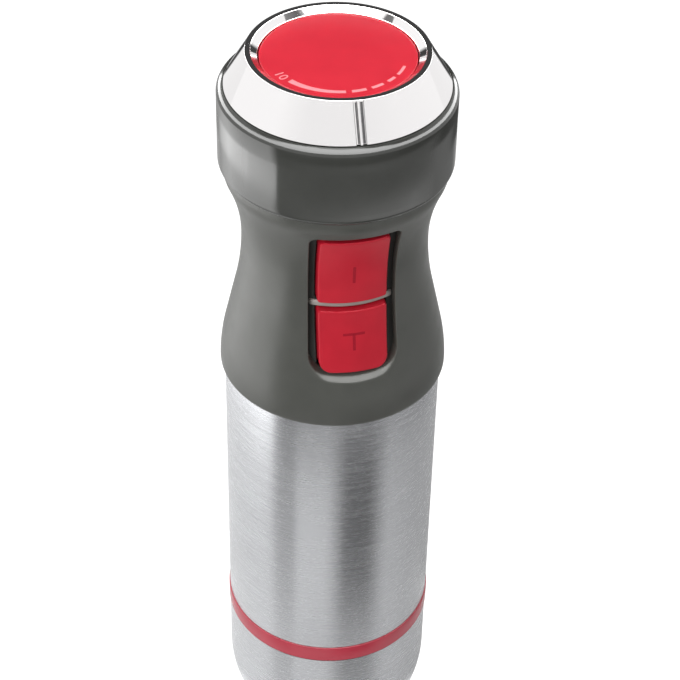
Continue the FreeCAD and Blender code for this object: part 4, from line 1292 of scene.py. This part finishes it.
def seen_share(tree):
    """Output that is 1 for rays from the camera, from mirrors and through glass."""
    rays = node(tree, "ShaderNodeLightPath").outputs
    share = rays["Is Camera Ray"]
    for kind in ("Is Glossy Ray", "Is Transmission Ray"):
        share = node(tree, "ShaderNodeMath", {0: share, 1: rays[kind]}, operation="MAXIMUM").outputs["Value"]
    return share


def add_floor():
    """A wide flat floor at the foot of the blender."""
    side = 6.0
    corners = [(-side, -side, 0.0), (side, -side, 0.0), (side, side, 0.0), (-side, side, 0.0)]
    mesh = bpy.data.meshes.new("floor")
    mesh.from_pydata(corners, [], [(0, 1, 2, 3)])
    add_object("floor", mesh)
    # Matt painted board: pale, keeps the shadow, and plain white is mixed in
    # where it is seen, so that it reads as white around the shadow.
    material, tree, shader = finish("Painted studio board", linear("#E6E6E6"), 0.8, Specular_IOR_Level=0.1)
    share = node(tree, "ShaderNodeMath", {0: seen_share(tree), 1: 0.42}, operation="MULTIPLY").outputs["Value"]
    white = node(tree, "ShaderNodeEmission", {"Color": (1.0, 1.0, 1.0, 1.0), "Strength": share})
    lit = node(tree, "ShaderNodeAddShader", {0: shader.outputs["BSDF"], 1: white.outputs["Emission"]})
    tree.links.new(lit.outputs["Shader"], tree.nodes["Material Output"].inputs["Surface"])
    mesh.materials.append(material)


def add_world(scene):
    """White surroundings: full white where seen, and a plain grey light."""
    world = bpy.data.worlds.new("studio")
    scene.world = world
    world.use_nodes = True
    tree = world.node_tree
    plain = tree.nodes["Background"]
    plain.inputs["Color"].default_value = (1.0, 1.0, 1.0, 1.0)
    plain.inputs["Strength"].default_value = 0.45
    white = node(tree, "ShaderNodeBackground", {"Color": (1.0, 1.0, 1.0, 1.0), "Strength": 1.0})
    mixed = node(tree, "ShaderNodeMixShader", {0: seen_share(tree), 1: plain.outputs[0], 2: white.outputs[0]})
    tree.links.new(mixed.outputs[0], tree.nodes["World Output"].inputs["Surface"])


def add_cloths(scene):
    """Cloths round and over the object that only its reflections show, so that
    metal and gloss have light and dark to mirror. A cloth joins rings of a
    radius and of heights, and glows; heights and glow run in straight lines
    between the angles given, counted from the camera's side."""
    turn = -scene.blender_studio.turn
    cloths = (
        # Floor under the blender, dark at its foot.
        (((0.037, 0.001), (0.12, 0.001)), ((-180, 0.25), (180, 0.25))),
        # Floor that the leg mirrors.
        (((0.14, 0.002), (0.185, 0.018)), (
            (-180, 0.3), (-169, 0.3), (-168, 0.9), (-62, 0.95), (-56, 0.8), (-20, 0.66), (20, 0.6), (60, 0.6),
            (100, 0.5), (168, 0.5), (169, 0.3), (180, 0.3),
        )),
        # Funnel that the steel mirrors.
        (((0.19, 0.02), (0.21, 0.04), (0.24, 0.14)), (
            (-180, 0.3), (-169, 0.3), (-168, 0.88), (-62, 0.86), (-58, 0.54), (-36, 0.54), (-34, 0.92), (-2, 0.86),
            (10, 0.42), (17, 0.12), (42, 0.10), (51, 0.36), (62, 0.66), (100, 0.54), (168, 0.46), (169, 0.3),
            (180, 0.3),
        )),
        # Dark below the grip's foot.
        (((0.24, 0.14), (0.24, 0.17)), (
            (-180, 0.3), (-168, 0.6), (-140, 0.8), (-115, 1.1), (-60, 1.1), (-52, 0.4), (-44, 0.1), (110, 0.1),
            (130, 0.4), (165, 0.6), (180, 0.3),
        )),
        # Round its waist.
        (((0.24, 0.17), (0.24, 0.20)), (
            (-180, 0.3), (-168, 0.6), (-140, 0.75), (-115, 2.2), (-60, 3.0), (-52, 0.2), (0, 0.15), (60, 0.08),
            (80, 0.15), (105, 0.5), (165, 0.65), (180, 0.3),
        )),
        # Light on its bulge.
        (((0.24, 0.20), (0.24, 0.234)), (
            (-180, 0.3), (-168, 0.6), (-140, 0.75), (-115, 2.2), (-60, 2.9), (-52, 0.4), (-10, 0.9), (30, 1.6),
            (75, 1.5), (105, 0.6), (140, 0.3), (165, 0.6), (180, 0.3),
        )),
        # Round the collar.
        (((0.24, 0.234), (0.24, 0.25)), (
            (-180, 0.1), (-165, 0.3), (-145, 0.6), (-128, 2.4), (-118, 3.8), (-88, 5.6), (-86, 5.0), (-55, 5.2),
            (-54, 0.6), (-20, 0.4), (30, 0.3), (80, 0.5), (105, 0.65), (125, 0.4), (140, 0.12), (156, 0.08), (162, 0.9),
            (180, 1.0),
        )),
        (((0.24, 0.25), (0.24, 0.275)), (
            (-180, 0.2), (-140, 0.8), (-115, 2.4), (-60, 3.2), (-52, 0.3), (-10, 0.5), (30, 0.7), (90, 0.5), (110, 0.1),
            (156, 0.1), (180, 0.3),
        )),
        (((0.24, 0.275), (0.24, 0.30)), (
            (-180, 0.2), (-140, 0.8), (-115, 2.2), (-60, 3.0), (-52, 0.15), (90, 0.08), (120, 0.2), (156, 0.1),
            (180, 0.3),
        )),
        # Beside the dial's bevel.
        (((0.24, 0.30), (0.24, 0.40)), (
            (-180, 0.05), (-153, 0.05), (-149, 1.0), (149, 1.0), (153, 0.05), (180, 0.05),
        )),
        # Behind the head, dark, and white in front.
        (((0.24, 0.40), (0.24, 0.66)), (
            (-180, 0.06), (-150, 0.06), (-146, 1.1), (-60, 1.1), (-30, 0.99), (30, 0.99), (60, 1.03), (146, 1.1),
            (150, 0.06), (180, 0.06),
        )),
        # Brightest, in front of the upper part of that one, for rounded edges.
        ((
            (0.238, ((-146, 0.375), (-104, 0.455), (-50, 0.525), (0, 0.55), (50, 0.525), (104, 0.455), (146, 0.375))),
            (0.238, (
                (-146, 0.44), (-120, 0.50), (-96, 0.56), (-66, 0.66), (66, 0.66), (96, 0.56), (120, 0.50), (146, 0.44),
            )),
        ), ((-180, 0.06), (-148, 0.06), (-146, 8.0), (146, 8.0), (148, 0.06), (180, 0.06))),
        # Overhead, dark behind.
        (((0.24, 0.66), (0.21, 0.80)), (
            (-180, 0.06), (-148, 0.06), (-140, 0.8), (-126, 0.7), (-116, 0.25), (-84, 0.2), (-74, 3.0), (-64, 9.0),
            (60, 9.0), (68, 0.6), (76, 0.15), (98, 0.3), (116, 0.7), (140, 0.8), (148, 0.06), (180, 0.06),
        )),
        # And above that, dark at both sides too.
        (((0.21, 0.80), (0.085, 0.80)), (
            (-180, 0.06), (-152, 0.06), (-140, 0.9), (-122, 0.8), (-112, 0.25), (-84, 0.2), (-72, 4.0), (-62, 9.0),
            (50, 9.0), (58, 0.15), (90, 0.2), (112, 0.7), (140, 0.9), (152, 0.06), (180, 0.06),
        )),
        (((0.085, 0.80), (0.001, 0.80)), ((-180, 3.5), (180, 3.5))),
    )
    material = bpy.data.materials.new("Backlit cloth")
    material.use_nodes = True
    material.cycles.emission_sampling = "NONE"
    tree = material.node_tree
    tree.nodes.remove(tree.nodes["Principled BSDF"])
    glow = node(tree, "ShaderNodeAttribute", attribute_name="glow").outputs["Fac"]
    light = node(tree, "ShaderNodeEmission", {"Color": (1.0, 1.0, 1.0, 1.0), "Strength": glow})
    tree.links.new(light.outputs[0], tree.nodes["Material Output"].inputs["Surface"])
    angles = np.linspace(-180.0, 180.0, 361)
    for number, (rings, steps) in enumerate(cloths):
        rows = []
        for radius, height in rings:
            if isinstance(height, tuple):
                bends = np.array(height, dtype=float)
                height = np.interp(angles, bends[:, 0], bends[:, 1])
            rows.append(around(radius, height, turn + np.radians(angles)))
        grid, steps = np.array(rows), np.array(steps, dtype=float)
        mesh = bpy.data.meshes.new(f"cloth_{number}")
        mesh.from_pydata(grid.reshape(-1, 3).tolist(), [], quads(grid, 0).tolist())
        values = np.tile(np.interp(angles, steps[:, 0], steps[:, 1]), len(rows)).astype(np.float32)
        mesh.attributes.new("glow", "FLOAT", "POINT").data.foreach_set("value", values)
        mesh.materials.append(material)
        cloth = add_object(f"cloth_{number}", mesh)
        for rays in ("camera", "diffuse", "transmission", "shadow", "volume_scatter"):
            setattr(cloth, "visible_" + rays, False)


def add_lamps():
    """Soft lamps: a wide key from the left, a fill from the right, one above.
    Gloss mirrors the cloths in their place."""
    lamps = (
        ("key", (-0.9, -0.7, 0.95), (0.0, 0.0, 0.33), (0.7, 0.9), 13.0),
        ("fill", (1.0, -0.6, 0.8), (0.0, 0.0, 0.33), (0.7, 0.9), 3.0),
        ("top", (0.0, 0.3, 1.5), (0.0, 0.0, 0.3), (0.9, 0.9), 8.0),
    )
    for name, place, aim, size, power in lamps:
        data = bpy.data.lights.new(name, "AREA")
        data.shape = "RECTANGLE"
        data.size, data.size_y = size
        data.energy = power
        lamp = add_object(name, data)
        lamp.visible_glossy = False
        back = np.array(place) - np.array(aim)
        back /= np.linalg.norm(back)
        right = np.cross((0.0, 0.0, 1.0), back)
        right /= np.linalg.norm(right)
        stand(lamp, right, np.cross(back, right), back, place)


class HANDBLENDER_PT_panel(bpy.types.Panel):
    """Lists the steps and the sizes of the hand blender"""

    bl_label = "Hand Blender"
    bl_idname = "HANDBLENDER_PT_panel"
    bl_space_type = "VIEW_3D"
    bl_region_type = "UI"
    bl_category = "Hand Blender"

    def draw(self, context):
        for kind in OPERATORS:
            self.layout.operator(kind.bl_idname, text=kind.bl_label)
        for group in GROUPS:
            settings = getattr(context.scene, group)
            box = self.layout.box()
            for name in settings.__annotations__:
                box.prop(settings, name)


GROUPS = {
    "blender_grip": GripSizes,
    "blender_buttons": ButtonSizes,
    "blender_head": HeadSizes,
    "blender_leg": LegSizes,
    "blender_colours": Colours,
    "blender_studio": StudioSizes,
}
OPERATORS = (
    HANDBLENDER_OT_inner, HANDBLENDER_OT_grip, HANDBLENDER_OT_buttons, HANDBLENDER_OT_collar, HANDBLENDER_OT_dial,
    HANDBLENDER_OT_disc, HANDBLENDER_OT_sleeve, HANDBLENDER_OT_joint, HANDBLENDER_OT_leg, HANDBLENDER_OT_bell,
    HANDBLENDER_OT_foot, HANDBLENDER_OT_studio,
)


def register():
    for group, kind in GROUPS.items():
        bpy.utils.register_class(kind)
        setattr(bpy.types.Scene, group, PointerProperty(type=kind))
    for kind in OPERATORS + (HANDBLENDER_PT_panel,):
        bpy.utils.register_class(kind)


def unregister():
    for kind in (HANDBLENDER_PT_panel,) + OPERATORS[::-1]:
        bpy.utils.unregister_class(kind)
    for group, kind in GROUPS.items():
        delattr(bpy.types.Scene, group)
        bpy.utils.unregister_class(kind)


def main():
    register()
    for kind in OPERATORS:
        getattr(bpy.ops.hand_blender, kind.bl_idname.split(".")[-1])()


if __name__ == "__main__":
    main()
